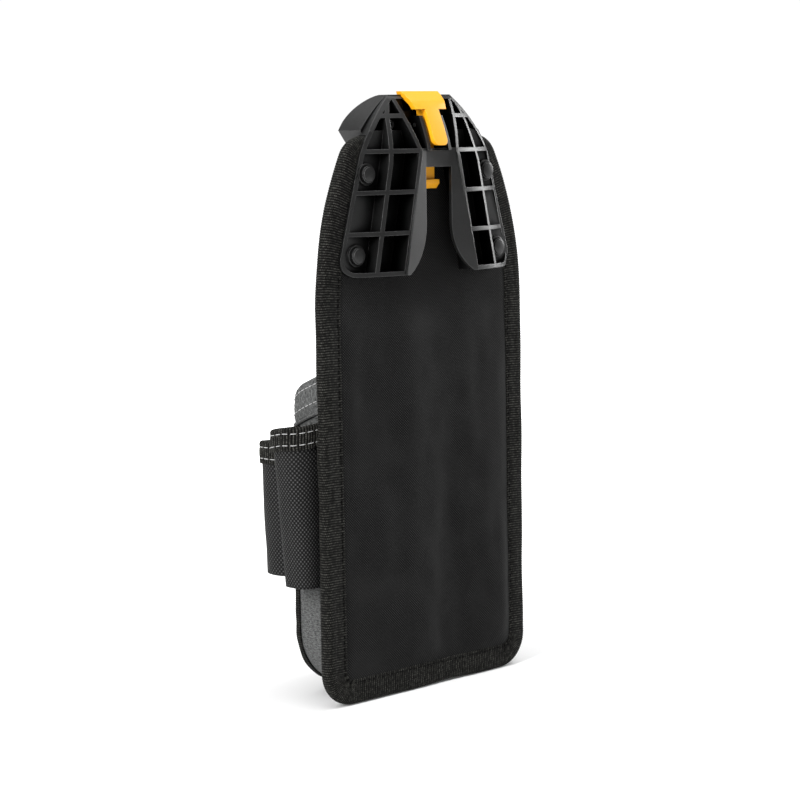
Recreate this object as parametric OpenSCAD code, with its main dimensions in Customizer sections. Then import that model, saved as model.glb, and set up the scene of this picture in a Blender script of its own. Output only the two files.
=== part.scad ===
// Electrician tool pouch: a padded back panel with a sewn pocket and tool sleeves on its
// front, and a riveted clip on its back that slides down over a tapered belt hub and latches.
// +Z is up. The pockets face -Y and the wearer stands on the +Y side. The origin is the
// centre of the panel's bottom edge.

/* [Back panel] */
// Width of the back panel
panel_w = 168; // [164:1:176]
// Height of the back panel's fabric
panel_h = 333; // [330:1:336]
// Thickness over the edge binding
panel_t = 8; // [8:0.5:10]
// Visible width of the edge binding on each face
binding_w = 15; // [12:0.5:15]
// Height at which the sides start to curve inwards
side_arc_z = 230; // [226:1:232]
// Radius of the long curve up each side
side_arc_r = 215; // [205:5:225]

/* [Main pocket] */
// Width of the main pocket over its gusset
pocket_w = 140; // [136:1:144]
// Depth of the main pocket from panel to front wall
pocket_d = 34; // [32:1:40]
// Height of the gusset where it meets the panel
pocket_rear_h = 199; // [194:1:204]
// Height of the pocket's front wall
pocket_front_h = 173; // [171:1:175]

/* [Tool sleeves] */
// How far the side sleeve stands out from the gusset at its mouth
side_sleeve_out = 26; // [22:1:30]
// Height of the side sleeve
side_sleeve_h = 95; // [90:1:100]
// Radius of the corner sleeve
corner_sleeve_r = 19.5; // [17:0.5:20]
// Height of the corner sleeve
corner_sleeve_h = 80; // [74:1:88]

/* [Clip] */
// Height of the clip's top edge above the ground
clip_top_z = 356.8; // [356.5:0.1:357.5]
// Height of the lower end of the clip's two legs
clip_foot_z = 252; // [250:1:256]
// Radius of the dome that the rib edges follow
dome_r = 118; // [117.5:0.1:118.5]
// Wall and rib thickness of the clip moulding
rib_t = 2.5; // [2:0.1:2.6]
// How far the clip's cover reaches forward of the panel's rear face
cover_reach = 24; // [23:0.5:26]

/* [Latch] */
// Height of the latch's pivot pin
pivot_z = 339; // [338.5:0.5:340]
// Radius of the pivot pin
pin_r = 1.25; // [1:0.05:1.5]
// Half width of the latch's tongue
tongue_half_w = 5.5; // [5:0.5:6]

/* [Hidden] */
$fn = 64;

// Panel layers, from the rear face to the front face
rear_y = panel_t / 2;
front_y = -panel_t / 2;
tape_t = 0.8;
cloth_t = 0.6;
board_t = 1.4;
groove = 0.8;
tuck = 0.4;
top_corner_r = 18;
bottom_corner_r = 20;
field_inset = binding_w + groove;
foam_rear_y = rear_y - tape_t - cloth_t;
board_front_y = front_y + tape_t + cloth_t;
field_front_y = front_y + cloth_t;

// Pocket
wall_t = 1.4;
pocket_front_y = front_y - pocket_d;
pocket_half_w = pocket_w / 2;
pocket_floor_z = 4;
pocket_corner_r = 36;
hem_h = 21;
hem_t = 1.1;
rim_drop = 14;
rim_slope = atan(rim_drop / pocket_d);
rim_corner_r = 16;
seam_w = 4;
seam_t = 1;
seam_side_w = 2;
piping_r = 1.1;
trim_h = 12.5;
trim_t = 1.1;
seam_slack = 0.05;

// Side sleeve, sewn to the gusset's side
side_sleeve_z = 70.5;
side_sleeve_front_y = pocket_front_y + seam_w;
side_sleeve_rear_y = front_y - 3;
sleeve_square = 0.75;
side_sleeve_foot_share = 0.72;

// Corner sleeve, sewn to the front wall beside the corner
corner_sleeve_x = 58;
corner_sleeve_z = 72;
corner_sleeve_gap = 12;

// Outer pocket and pen sleeve on the front wall
outer_pocket_w = 84;
outer_pocket_x = -19;
outer_pocket_h = 96;
outer_pocket_d = 17;
outer_pocket_z = 12;
outer_pocket_corner_r = 20;
pen_sleeve_x = -44;
pen_sleeve_r = 10;
pen_sleeve_h = 44;
pen_sleeve_gap = 3;
pen_trim_h = 9;
pen_sleeve_z = 112;

// Bar tacks
tack_w = 2;
tack_t = 0.6;
tack_h = 8;
front_tack_z = 142;

// Clip moulding. Heights named *_h are measured rearwards from the panel's rear face.
floor_h = 1.5;
leg_lean = 13.5;
leg_outer_x = 53.2;
leg_outer_z = 322.3;
leg_arc_r = 77.6;
leg_arc_in = 42.7;
leg_arc_down = 63.5;
leg_foot_r = 9;
dome_z = 294.4;
dome_h = -100;
sphere_from_z = 305;
shoulder_arc_r = 100;
crown_r = 38.4;
crown_axis_h = -24.8;
crown_axis_z = 324.4;
crown_from = 6;
crown_half_w = 25.5;
crown_foot_z = panel_h + 0.5;
crown_h = -4.4;
rib_z = [344.4, 324, 300.3, 276.6];
inner_wall = [[24, clip_top_z], [20.9, rib_z[0]], [15.2, rib_z[1]], [29.9, clip_foot_z]];
middle_rib = [[26.5, clip_top_z], [31.6, rib_z[0]], [34.9, rib_z[1]], [49.9, clip_foot_z]];
lip_x = 10.6;
lip_h = 12.5;
lip_t = 2.2;
lip_slope = 8.7;
lip_arc_r = 34;
lip_arc_z = 281;
crossbar_z = 314.3;
crossbar_h = 5;
crossbar_top_h = 12.4;
channel_half_w = 7.2 + rib_t;
rivet_spots = [[49.4, 311], [58.5, 264.3]];
rivet_r = 2.2;
rivet_head_r = 5;
rivet_head_h = 3.2;
rivet_rim_t = 1.7;
rivet_tail_r = 3.8;
rivet_tail_t = 1.2;
washer_r = 6;
washer_t = 1.2;
boss_r = 6.4;
slack = 0.1;

// Cover
cover_tip_z = 276;
cover_tip_r = 14;
cover_shoulder = [47, 336.5];
cover_front_y = rear_y - cover_reach;
cover_wall = 2.2;
cover_round_r = 15.5;
cover_tip_d = 7;
screw_spot = [25.8, 339.3];
screw_r = 1.5;
screw_head_r = 2.8;
screw_head_h = 1.9;
screw_tip_y = rear_y + crown_h - 8;
screw_boss_r = 4;

// Latch
latch_gap = 0.6;
head_foot_z = 348;
head_foot_half_w = 12.6;
head_top_half_w = 15.6;
head_reach = 6.5;
head_proud = 2.2;
head_t = 3.2;
tongue_tip_z = 326.8;
tongue_corner_r = 3.6;
web_top_z = 352.5;
pivot_h = 2.4;
shank_half_w = 4.5;
shank_front_h = 2.5;
shank_rear_h = 4.2;
hook_half_w = 6;
hook_h = 6.8;
hook_top_z = 306.8;
hook_foot_z = 301.5;
barrel_r = 3;
pin_fit = 0.01;
pin_play = 0.08;
spring_wire_r = 0.3;
spring_coil_r = 1.9;
spring_turns = 2;
spring_leg = 8.5;

panel_color = [0.09, 0.09, 0.09];
tape_color = [0.13, 0.13, 0.12];
ballistic_color = [0.08, 0.08, 0.08];
gusset_color = [0.42, 0.44, 0.45];
clip_color = [0.19, 0.19, 0.2];
latch_color = [0.98, 0.7, 0.12];

// ---- Geometry helpers -----------------------------------------------------------------

function arc_points(centre, r, from, to, steps) =
    [for (i = [0:steps]) let (a = from + (to - from) * i / steps)
        centre + r * [cos(a), sin(a)]];

function mirrored(points) =
    concat(points, [for (i = [len(points) - 1:-1:0]) [-points[i][0], points[i][1]]]);

// Points of an arc of radius r that bulges to the right of the way from p to q
function arc_between(p, q, r, steps) =
    let (
        chord = q - p,
        span = norm(chord),
        side = [chord[1], -chord[0]] / span,
        centre = (p + q) / 2 - side * sqrt(r * r - span * span / 4),
        a0 = atan2(p[1] - centre[1], p[0] - centre[0]),
        a1 = atan2(q[1] - centre[1], q[0] - centre[0])
    ) arc_points(centre, r, a0, a1, steps);

// Draws an outline given in X and Z as a wall between two Y values
module wall(from_y, to_y) {
    translate([0, max(from_y, to_y), 0]) rotate([90, 0, 0])
        linear_extrude(abs(to_y - from_y)) children();
}

// Draws a profile given in Y and Z as a slab between two X values
module slab(from_x, to_x) {
    translate([min(from_x, to_x), 0, 0]) rotate([90, 0, 90])
        linear_extrude(abs(to_x - from_x)) children();
}

// A straight bar of width t from p to q
module bar(p, q, t) {
    run = q - p;
    translate(p) rotate(atan2(run[1], run[0]))
        translate([-t / 2, -t / 2]) square([norm(run) + t, t]);
}

module both_sides() {
    children();
    mirror([1, 0, 0]) children();
}

// Cylinder along Y at an X and Z, between two Y values
module bolt(spot, r, from_y, to_y) {
    translate([spot[0], max(from_y, to_y), spot[1]]) rotate([90, 0, 0])
        cylinder(r = r, h = abs(to_y - from_y));
}

module rivet_holes(r) {
    both_sides() for (spot = rivet_spots) bolt(spot, r, rear_y + 20, front_y - 20);
}

// ---- Back panel -------------------------------------------------------------------------

// Outline of the panel, moved inwards by inset
module panel_outline(inset) {
    half_w = panel_w / 2;
    side_centre = [half_w - side_arc_r, side_arc_z];
    reach = side_arc_r - top_corner_r;
    rise = panel_h - top_corner_r - side_arc_z;
    turn = asin(rise / reach);
    top_centre = side_centre + [reach * cos(turn), rise];
    foot_centre = [half_w - bottom_corner_r, bottom_corner_r];
    polygon(mirrored(concat(
        arc_points(foot_centre, bottom_corner_r - inset, -90, 0, 8),
        arc_points(side_centre, side_arc_r - inset, 0, turn, 10),
        arc_points(top_centre, top_corner_r - inset, turn, 90, 7)
    )));
}

module panel_ring(outer_inset, inner_inset) {
    difference() {
        panel_outline(outer_inset);
        panel_outline(inner_inset);
    }
}

// A cloth face that is tucked under the binding and stands level with it inside. Drawn with
// its face at Y 0 and its back towards -Y.
module face_cloth() {
    wall(-cloth_t, 0) panel_outline(field_inset);
    wall(-tape_t - cloth_t, 0) panel_ring(field_inset, field_inset + cloth_t);
    wall(-tape_t - cloth_t, -tape_t) panel_ring(tape_t, field_inset + cloth_t);
}

module rear_fabric() color(panel_color) difference() {
    translate([0, rear_y, 0]) face_cloth();
    rivet_holes(rivet_r + slack);
}

module foam_pad() color("dimgray") difference() {
    union() {
        wall(board_front_y + board_t, foam_rear_y) panel_outline(tape_t + tuck);
        wall(foam_rear_y - 0.1, rear_y - cloth_t) panel_outline(field_inset + cloth_t);
    }
    rivet_holes(rivet_r + slack);
}

// The board is rebated where the binding folds over the front cloth
module stiffener_board() color("gainsboro") difference() {
    union() {
        wall(board_front_y, board_front_y + board_t) panel_outline(tape_t + tuck);
        wall(field_front_y, board_front_y + 0.1) panel_outline(field_inset + cloth_t);
    }
    rivet_holes(rivet_r + slack);
}

module front_fabric() color(panel_color) difference() {
    translate([0, front_y, 0]) mirror([0, 1, 0]) face_cloth();
    rivet_holes(rivet_r + slack);
}

module edge_binding() color(tape_color) difference() {
    union() {
        wall(rear_y - tape_t, rear_y) panel_ring(0, binding_w);
        wall(front_y, rear_y) panel_ring(0, tape_t);
        wall(front_y, front_y + tape_t) panel_ring(0, binding_w);
    }
    rivet_holes(rivet_r + slack);
}

// ---- Clip ---------------------------------------------------------------------------------

// Half outline of the clip seen from behind, down to its feet
function clip_side(inset) = arc_between(
    [leg_outer_x - inset, leg_outer_z],
    [crown_half_w - inset * 0.5, clip_top_z - inset], shoulder_arc_r, 8);

// X of the leg's straight outer edge at a height
function leg_edge_x(z) = leg_outer_x + (leg_outer_z - z) * tan(leg_lean);

module clip_outline(inset) {
    foot_x = leg_edge_x(clip_foot_z) - leg_foot_r;
    polygon(mirrored(concat(
        [[0, clip_foot_z + inset]],
        arc_points([foot_x, clip_foot_z + leg_foot_r], leg_foot_r - inset, -90, leg_lean, 6),
        clip_side(inset)
    )));
}

// The space between the legs, with a wide rounded mouth at the bottom
module leg_gap(half_w, arc_r) {
    turn = asin((lip_arc_z - clip_foot_z + 2) / arc_r);
    polygon(mirrored(concat(
        [[half_w, crossbar_z]],
        arc_points([half_w + arc_r, lip_arc_z], arc_r, 180, 180 + turn, 8)
    )));
}

// The crown's own form: a large sphere that turns over at the top round a level axis
module crown_form(grow) {
    intersection() {
        translate([0, rear_y + dome_h, dome_z]) sphere(r = dome_r + grow, $fn = 96);
        union() {
            translate([-70, rear_y + crown_axis_h, crown_axis_z]) rotate([0, 90, 0])
                cylinder(r = crown_r + grow, h = 140, $fn = 128);
            translate([-70, rear_y - 60, crown_axis_z - 40]) cube([140, 90, 40 + crown_from]);
        }
    }
}

// Everything in front of the curved surface that the rib edges lie on
module dome() {
    intersection() {
        union() {
            crown_form(0);
            translate([-90, rear_y - 40, clip_foot_z - 10])
                cube([180, 70, sphere_from_z - clip_foot_z + 10]);
        }
        both_sides() intersection() {
            translate([leg_outer_x, rear_y - leg_arc_down, leg_outer_z]) rotate([0, -leg_lean, 0])
                translate([-leg_arc_in, 0, -120]) cylinder(r = leg_arc_r, h = 240, $fn = 128);
            translate([0, rear_y - 60, clip_foot_z - 10]) cube([100, 100, 130]);
        }
    }
}

module rib_grid() {
    difference() {
        clip_outline(0);
        clip_outline(rib_t);
    }
    intersection() {
        clip_outline(0);
        union() {
            for (z = rib_z) both_sides() bar([inner_x(z), z], [80, z], rib_t);
            both_sides() for (line = [inner_wall, middle_rib], i = [0:2])
                bar(line[i], line[i + 1], rib_t);
            translate([-leg_edge_x(clip_foot_z), clip_foot_z])
                square([2 * leg_edge_x(clip_foot_z), rib_t]);
        }
    }
}

// X of the inner wall's centre line at a height
function inner_x(z) = lookup(z, [for (p = inner_wall) [p[1], p[0]]]);

// Area between the inner walls, from the ground up to a height
module throat(top_z) {
    both_sides() polygon([
        [0, clip_foot_z - 5], [inner_x(clip_foot_z) + 1, clip_foot_z - 5],
        [inner_x(leg_outer_z), rib_z[1]], [inner_x(top_z), top_z], [0, top_z]
    ]);
}

// The two lips overhang the throat and hold the hub's plate in
module lips() {
    intersection() {
        both_sides() translate([lip_x, rear_y + lip_h, clip_foot_z])
            linear_extrude(rib_z[1] + rib_t / 2 - clip_foot_z)
                rotate(lip_slope) translate([-12, -lip_t]) square([34, lip_t]);
        wall(rear_y, rear_y + 20) intersection() {
            difference() {
                throat(rib_z[1] + rib_t / 2);
                leg_gap(lip_x, lip_arc_r);
            }
            clip_outline(0);
        }
    }
}

// Ribs above the panel's top edge reach further forward, to meet the cover
module crown_area() {
    translate([-60, crown_foot_z]) square([120, 40]);
}

module clip_ribs() {
    difference() {
        union() {
            wall(rear_y, rear_y + 20) rib_grid();
            wall(rear_y + crown_h, rear_y + 20) intersection() {
                rib_grid();
                crown_area();
            }
            wall(rear_y, rear_y + 20) both_sides() translate([channel_half_w - rib_t, rib_z[1]])
                square([rib_t, rib_z[0] - rib_z[1]]);
            wall(rear_y + crossbar_h, rear_y + crossbar_top_h)
                translate([-inner_x(crossbar_z), crossbar_z])
                    square([2 * inner_x(crossbar_z), rib_z[1] - crossbar_z]);
        }
        wall(rear_y - 20, rear_y + 20) latch_head_outline(latch_gap);
        // the hub's way in, under the lips
        wall(rear_y - 1, rear_y + 20) throat_space();
    }
}

// Open part of the throat between the inner walls, below the crossbar
module throat_space() {
    difference() {
        intersection() {
            throat(crossbar_z);
            translate([-60, clip_foot_z - 5]) square([120, crossbar_z - clip_foot_z + 5]);
        }
        both_sides() bar(inner_wall[2], inner_wall[3], rib_t);
    }
}

module latch_slot() {
    half_w = channel_half_w - rib_t;
    translate([-half_w, crossbar_z - 1]) square([2 * half_w, 60]);
}

module clip_plate() color(clip_color) difference() {
    union() {
        intersection() {
            dome();
            clip_ribs();
        }
        // cell floors, on the panel and above its top edge
        wall(rear_y, rear_y + floor_h) difference() {
            intersection() {
                clip_outline(0);
                translate([-90, clip_foot_z]) square([180, panel_h + 2 - clip_foot_z]);
            }
            throat(crossbar_z);
            latch_slot();
        }
        wall(rear_y + crown_h, rear_y + crown_h + floor_h) difference() {
            intersection() {
                clip_outline(0);
                crown_area();
            }
            latch_head_outline(latch_gap);
            latch_slot();
        }
        wall(rear_y + crown_h, rear_y + floor_h) difference() {
            intersection() {
                clip_outline(0);
                translate([-60, crown_foot_z]) square([120, rib_t]);
            }
            latch_slot();
        }
        lips();
        both_sides() for (spot = rivet_spots) bolt(spot, boss_r, rear_y, rear_y + rivet_head_h);
    }
    both_sides() for (spot = rivet_spots) {
        bolt(spot, rivet_r + slack, rear_y - 1, rear_y + 20);
        bolt(spot, rivet_head_r + 0.4, rear_y + rivet_head_h, rear_y + 20);
    }
    both_sides()
        bolt(screw_spot, screw_r + slack, rear_y + crown_h - 1, rear_y + crown_h + floor_h + 1);
    pivot_hole(pin_r + pin_fit);
}

module pivot_hole(r) {
    translate([-channel_half_w - 0.1, rear_y + pivot_h, pivot_z]) rotate([0, 90, 0])
        cylinder(r = r, h = 2 * channel_half_w + 0.2);
}

// ---- Latch --------------------------------------------------------------------------------

// Head of the latch seen from behind, grown by gap
module latch_head_outline(gap) {
    polygon(mirrored([
        [0, head_foot_z - gap], [head_foot_half_w + gap, head_foot_z - gap],
        [head_top_half_w + gap, clip_top_z + 2], [0, clip_top_z + 2]
    ]));
}

module tongue_outline() {
    corner = [tongue_half_w - tongue_corner_r, tongue_tip_z + tongue_corner_r];
    polygon(mirrored(concat(
        arc_points(corner, tongue_corner_r, -90, 0, 6),
        [[tongue_half_w, head_foot_z + 1]]
    )));
}

module latch_lever() color(latch_color) difference() {
    union() {
        intersection() {
            difference() {
                crown_form(head_proud);
                crown_form(head_proud - head_t);
            }
            wall(rear_y - head_reach, rear_y + 20) union() {
                latch_head_outline(0);
                tongue_outline();
            }
        }
        // web from the head and the tongue to the barrel, then the shank
        slab(-shank_half_w, shank_half_w) polygon([
            [rear_y - 2.5, web_top_z], [rear_y + 0.5, pivot_z], [rear_y + shank_front_h, pivot_z - 6],
            [rear_y + shank_front_h, hook_foot_z + 4], [rear_y + shank_rear_h, hook_foot_z + 4],
            [rear_y + shank_rear_h, pivot_z - 3], [rear_y + 10, pivot_z + 3],
            [rear_y + 3.6, web_top_z - 1.5]
        ]);
        slab(-hook_half_w, hook_half_w) polygon([
            [rear_y + shank_front_h, hook_top_z], [rear_y + shank_front_h, hook_foot_z + 1.5],
            [rear_y + shank_front_h + 1, hook_foot_z], [rear_y + shank_rear_h, hook_foot_z],
            [rear_y + hook_h, hook_foot_z + 3], [rear_y + hook_h, hook_top_z]
        ]);
        // wing that the spring's leg pushes on
        slab(shank_half_w - 1, hook_half_w + 0.6) translate([rear_y + 0.9, pivot_z - spring_leg])
            square([2.4, 2.5]);
        translate([-shank_half_w, rear_y + pivot_h, pivot_z]) rotate([0, 90, 0])
            cylinder(r = barrel_r, h = 2 * shank_half_w);
    }
    pivot_hole(pin_r + pin_play);
}

module latch_pin() color("silver")
    translate([-channel_half_w, rear_y + pivot_h, pivot_z]) rotate([0, 90, 0])
        cylinder(r = pin_r, h = 2 * channel_half_w);

// Torsion spring round the pin: the coil and its two straight legs are one swept wire
module latch_spring() color("lightsteelblue") {
    steps = 18;
    coil_x = shank_half_w + spring_wire_r + 0.15;
    pitch = 2 * spring_wire_r + 0.08;
    leg = spring_leg;
    // point along the wire's centre line: leg, coil, leg
    path = concat(
        [[coil_x, spring_coil_r, -leg]],
        [for (i = [0:steps * spring_turns + steps / 2]) let (a = 360 * i / steps)
            [coil_x + pitch * i / steps, spring_coil_r * cos(a), spring_coil_r * sin(a)]],
        [[coil_x + pitch * (spring_turns + 0.5), -spring_coil_r, -leg]]
    );
    sides = 8;
    n = len(path);
    points = [for (i = [0:n - 1]) let (
            way = path[min(i + 1, n - 1)] - path[max(i - 1, 0)],
            across = cross(way, [1, 0, 0]),
            u = across / norm(across),
            v = cross(way, u) / norm(way)
        ) for (k = [0:sides - 1]) let (a = 360 * k / sides)
            path[i] + spring_wire_r * (cos(a) * u + sin(a) * v)];
    faces = concat(
        [[for (k = [0:sides - 1]) k]],
        [[for (k = [sides - 1:-1:0]) (n - 1) * sides + k]],
        [for (i = [0:n - 2], k = [0:sides - 1])
            let (a = i * sides + k, b = i * sides + (k + 1) % sides)
                [a, a + sides, b + sides, b]]
    );
    translate([0, rear_y + pivot_h, pivot_z]) polyhedron(points, faces);
}

// ---- Cover and rivets --------------------------------------------------------------------

// Outline of the cover, a shield whose lower edges run from the shoulders to a round tip
module cover_outline(inset) {
    tip_centre = [0, cover_tip_z + cover_tip_r];
    shoulder = cover_shoulder - [inset, 0];
    run = shoulder - tip_centre;
    tip_r = cover_tip_r - inset;
    tip_turn = atan2(run[1], run[0]) - acos(tip_r / norm(run));
    polygon(mirrored(concat(
        arc_points(tip_centre, tip_r, -90, tip_turn, 8),
        arc_between(shoulder, [crown_half_w - inset * 0.5, clip_top_z - inset], shoulder_arc_r, 8)
    )));
}

// Profile of the cover seen from the side: rounded crown, then a face that falls back
module cover_profile(inset) {
    round_centre = [cover_front_y + cover_round_r, clip_top_z + 0.2 - cover_round_r];
    polygon(concat(
        [[rear_y + crown_h, clip_top_z + 0.2 - inset]],
        arc_points(round_centre, cover_round_r - inset, 90, 180, 10),
        [[front_y - cover_tip_d + inset * 0.6, cover_tip_z - 1], [rear_y + crown_h, cover_tip_z - 1]]
    ));
}

// The cover's outer form, or its hollow when inset
module cover_block(inset) {
    intersection() {
        wall(cover_front_y - 1, rear_y + crown_h) cover_outline(inset);
        slab(-80, 80) cover_profile(inset);
    }
}

module clip_cover() color(clip_color) difference() {
    union() {
        difference() {
            cover_block(0);
            translate([0, 1, 0]) cover_block(cover_wall);
        }
        intersection() {
            cover_block(0);
            both_sides() bolt(screw_spot, screw_boss_r, rear_y + crown_h, cover_front_y);
        }
        // rib behind the latch's head
        translate([-20, rear_y + crown_h - 6.5, panel_h + 2]) cube([40, 2, clip_top_z - panel_h - 3]);
    }
    // room for the panel
    translate([-80, front_y, cover_tip_z - 5]) cube([160, 20, crown_foot_z - cover_tip_z + 5]);
    wall(rear_y - head_reach - latch_gap, rear_y + 2) latch_head_outline(latch_gap);
    both_sides() bolt(screw_spot, screw_r, screw_tip_y - 0.3, rear_y + 2);
}

module cover_screws() color("dimgray") both_sides() {
    seat_y = rear_y + crown_h + floor_h;
    difference() {
        union() {
            bolt(screw_spot, screw_head_r, seat_y, seat_y + screw_head_h);
            bolt(screw_spot, screw_r, screw_tip_y, seat_y + 0.5);
        }
        translate([screw_spot[0], seat_y + screw_head_h + 0.1, screw_spot[1]]) rotate([90, 0, 0])
            cylinder(r = screw_head_r / 2, h = 1.3, $fn = 6);
    }
}

module rivets() color(clip_color) both_sides() for (spot = rivet_spots) {
    head_y = rear_y + rivet_head_h;
    bolt(spot, rivet_head_r, head_y, head_y + rivet_rim_t);
    bolt(spot, rivet_head_r - 0.8, head_y + rivet_rim_t - 0.1, head_y + rivet_rim_t + 0.7);
    bolt(spot, rivet_r, front_y - washer_t - 0.1, head_y + 0.1);
    bolt(spot, rivet_tail_r, front_y - washer_t - rivet_tail_t, front_y - washer_t);
}

module rivet_washers() color("silver") both_sides() for (spot = rivet_spots) difference() {
    bolt(spot, washer_r, front_y - washer_t, front_y);
    bolt(spot, rivet_r + slack, front_y - washer_t - 1, front_y + 1);
}

// ---- Main pocket --------------------------------------------------------------------------

module u_outline(inset, top_z) {
    half_w = pocket_half_w - inset;
    r = pocket_corner_r - inset;
    polygon(mirrored(concat(
        arc_points([half_w - r, pocket_floor_z + pocket_corner_r], r, -90, 0, 10),
        [[half_w, top_z]]
    )));
}

// Side profile of everything below the gusset's rim, which slopes down to the front and is
// rounded at the front corner; lowered by drop
module below_rim(drop) {
    rear = [front_y, pocket_rear_h - drop];
    centre_y = pocket_front_y + rim_corner_r;
    centre_z = rear[1] - (front_y - centre_y) * tan(rim_slope) - rim_corner_r / cos(rim_slope);
    slab(-100, 100) polygon(concat(
        [rear],
        arc_points([centre_y, centre_z], rim_corner_r, 90 + rim_slope, 180, 8),
        [[pocket_front_y, -5], [front_y, -5]]
    ));
}

// Everything below a line parallel to the straight part of the rim, lowered by drop
module below_line(drop) {
    rear_z = pocket_rear_h - drop;
    slab(-100, 100) polygon([
        [front_y, rear_z], [pocket_front_y - 1, rear_z - (pocket_d + 1) * tan(rim_slope)],
        [pocket_front_y - 1, -5], [front_y, -5]
    ]);
}

module pocket_gusset() color(gusset_color) intersection() {
    wall(pocket_front_y, front_y) difference() {
        u_outline(0, 220);
        u_outline(wall_t, 230);
    }
    below_rim(0);
}

module gusset_hems() color(gusset_color) both_sides() difference() {
    intersection() {
        translate([pocket_half_w, pocket_front_y, 100]) cube([hem_t, pocket_d, 120]);
        below_rim(0);
    }
    below_line(hem_h);
}

// Line of the piping under one hem, as a rod of radius r
module piping_run(r) {
    translate([pocket_half_w + hem_t + piping_r, front_y - 0.6, pocket_rear_h - hem_h - 0.4])
        rotate([90 + rim_slope, 0, 0])
            cylinder(r = r, h = (pocket_d - 1.2) / cos(rim_slope), $fn = 24);
}

module hem_piping() color("black") both_sides() piping_run(piping_r);

module pocket_front() color(gusset_color)
    wall(pocket_front_y - wall_t, pocket_front_y) u_outline(0, pocket_front_h);

// Tape folded round the seam, up to the mouth's hem: one leg on the gusset's side, one on the
// front wall
module seam_binding() color(tape_color) {
    rim_z = pocket_front_h - trim_h - 2;
    wall(pocket_front_y - wall_t - seam_t, pocket_front_y + seam_side_w) difference() {
        u_outline(-seam_t, rim_z);
        u_outline(0, rim_z + 5);
    }
    wall(pocket_front_y - wall_t - seam_t, pocket_front_y - wall_t) difference() {
        u_outline(-seam_t / 2, rim_z);
        u_outline(seam_w, rim_z + 5);
    }
}

module pocket_front_trim() color(tape_color) {
    half_w = pocket_half_w - seam_w - 0.2;
    difference() {
        translate([-half_w, pocket_front_y - wall_t - trim_t, pocket_front_h - trim_h])
            cube([2 * half_w, wall_t + 2 * trim_t, trim_h + trim_t]);
        translate([-pocket_half_w, pocket_front_y - wall_t, pocket_front_h - trim_h - 1])
            cube([pocket_w, wall_t, trim_h + 1]);
    }
}

// ---- Tool sleeves ---------------------------------------------------------------------------

// Plan of the side sleeve: a half ellipse on the gusset's side
module side_sleeve_plan(out, half_d, inset) {
    mid_y = (side_sleeve_front_y + side_sleeve_rear_y) / 2;
    back = max(inset, 0) * 0.8;
    a = out - inset - back;
    b = half_d - inset;
    translate([pocket_half_w + back, mid_y]) polygon(concat(
        [[0, -b]],
        [for (i = [1:23]) let (t = -90 + 180 * i / 24, c = pow(cos(t), sleeve_square),
                s = sign(t) * pow(abs(sin(t)), sleeve_square))
            [a * c, b * s]],
        [[0, b]]
    ));
}

module side_sleeve_body(inset, from_z, to_z) {
    half_d = (side_sleeve_rear_y - side_sleeve_front_y) / 2;
    function share(z) = side_sleeve_foot_share
        + (1 - side_sleeve_foot_share) * (z - side_sleeve_z) / side_sleeve_h;
    hull() {
        for (z = [from_z, to_z]) translate([0, 0, z == from_z ? z : z - 0.01]) linear_extrude(0.01)
            side_sleeve_plan(side_sleeve_out * share(z), half_d * (0.5 + share(z) / 2), inset);
    }
}

// The hem's piping runs on behind the sleeve, which is notched for it
module side_sleeve() color(ballistic_color) difference() {
    translate([hem_t, 0, 0]) difference() {
        side_sleeve_body(0, side_sleeve_z, side_sleeve_z + side_sleeve_h);
        side_sleeve_body(wall_t, side_sleeve_z - 0.1, side_sleeve_z + side_sleeve_h + 0.1);
    }
    piping_run(piping_r + slack);
}

module side_sleeve_trim() color(tape_color) difference() {
    top_z = side_sleeve_z + side_sleeve_h;
    translate([hem_t, 0, 0]) difference() {
        side_sleeve_body(-trim_t, top_z - trim_h, top_z + trim_t);
        side_sleeve_body(-seam_slack, top_z - trim_h - 0.1, top_z + trim_t + 0.2);
    }
    piping_run(piping_r + slack);
}

module corner_tube(r, from_z, to_z) {
    face_y = pocket_front_y - wall_t;
    intersection() {
        translate([corner_sleeve_x, face_y - corner_sleeve_gap, from_z])
            cylinder(r = r, h = to_z - from_z);
        translate([0, face_y - 100, from_z - 1])
            cube([100, 100 - (corner_sleeve_r - r) * 0.8, to_z - from_z + 2]);
    }
}

module corner_sleeve() color(ballistic_color) translate([0, -seam_t, 0]) difference() {
    corner_tube(corner_sleeve_r, corner_sleeve_z, corner_sleeve_z + corner_sleeve_h);
    corner_tube(corner_sleeve_r - wall_t, corner_sleeve_z - 1, corner_sleeve_z + corner_sleeve_h + 1);
}

module corner_sleeve_trim() color(tape_color) translate([0, -seam_t, 0]) {
    top_z = corner_sleeve_z + corner_sleeve_h;
    difference() {
        corner_tube(corner_sleeve_r + trim_t, top_z - trim_h, top_z + trim_t);
        corner_tube(corner_sleeve_r, top_z - trim_h - 1, top_z + trim_t + 1);
        translate([0, pocket_front_y - wall_t, top_z - trim_h - 2]) cube([100, 10, trim_h + 5]);
    }
}

// ---- Front of the pocket ----------------------------------------------------------------------

module outer_pocket_outline(inset) {
    half_w = outer_pocket_w / 2 - inset;
    r = outer_pocket_corner_r - inset;
    translate([outer_pocket_x, 0]) polygon(mirrored(concat(
        arc_points([half_w - r, outer_pocket_z + outer_pocket_corner_r], r, -90, 0, 6),
        [[half_w, outer_pocket_z + outer_pocket_h]]
    )));
}

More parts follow.
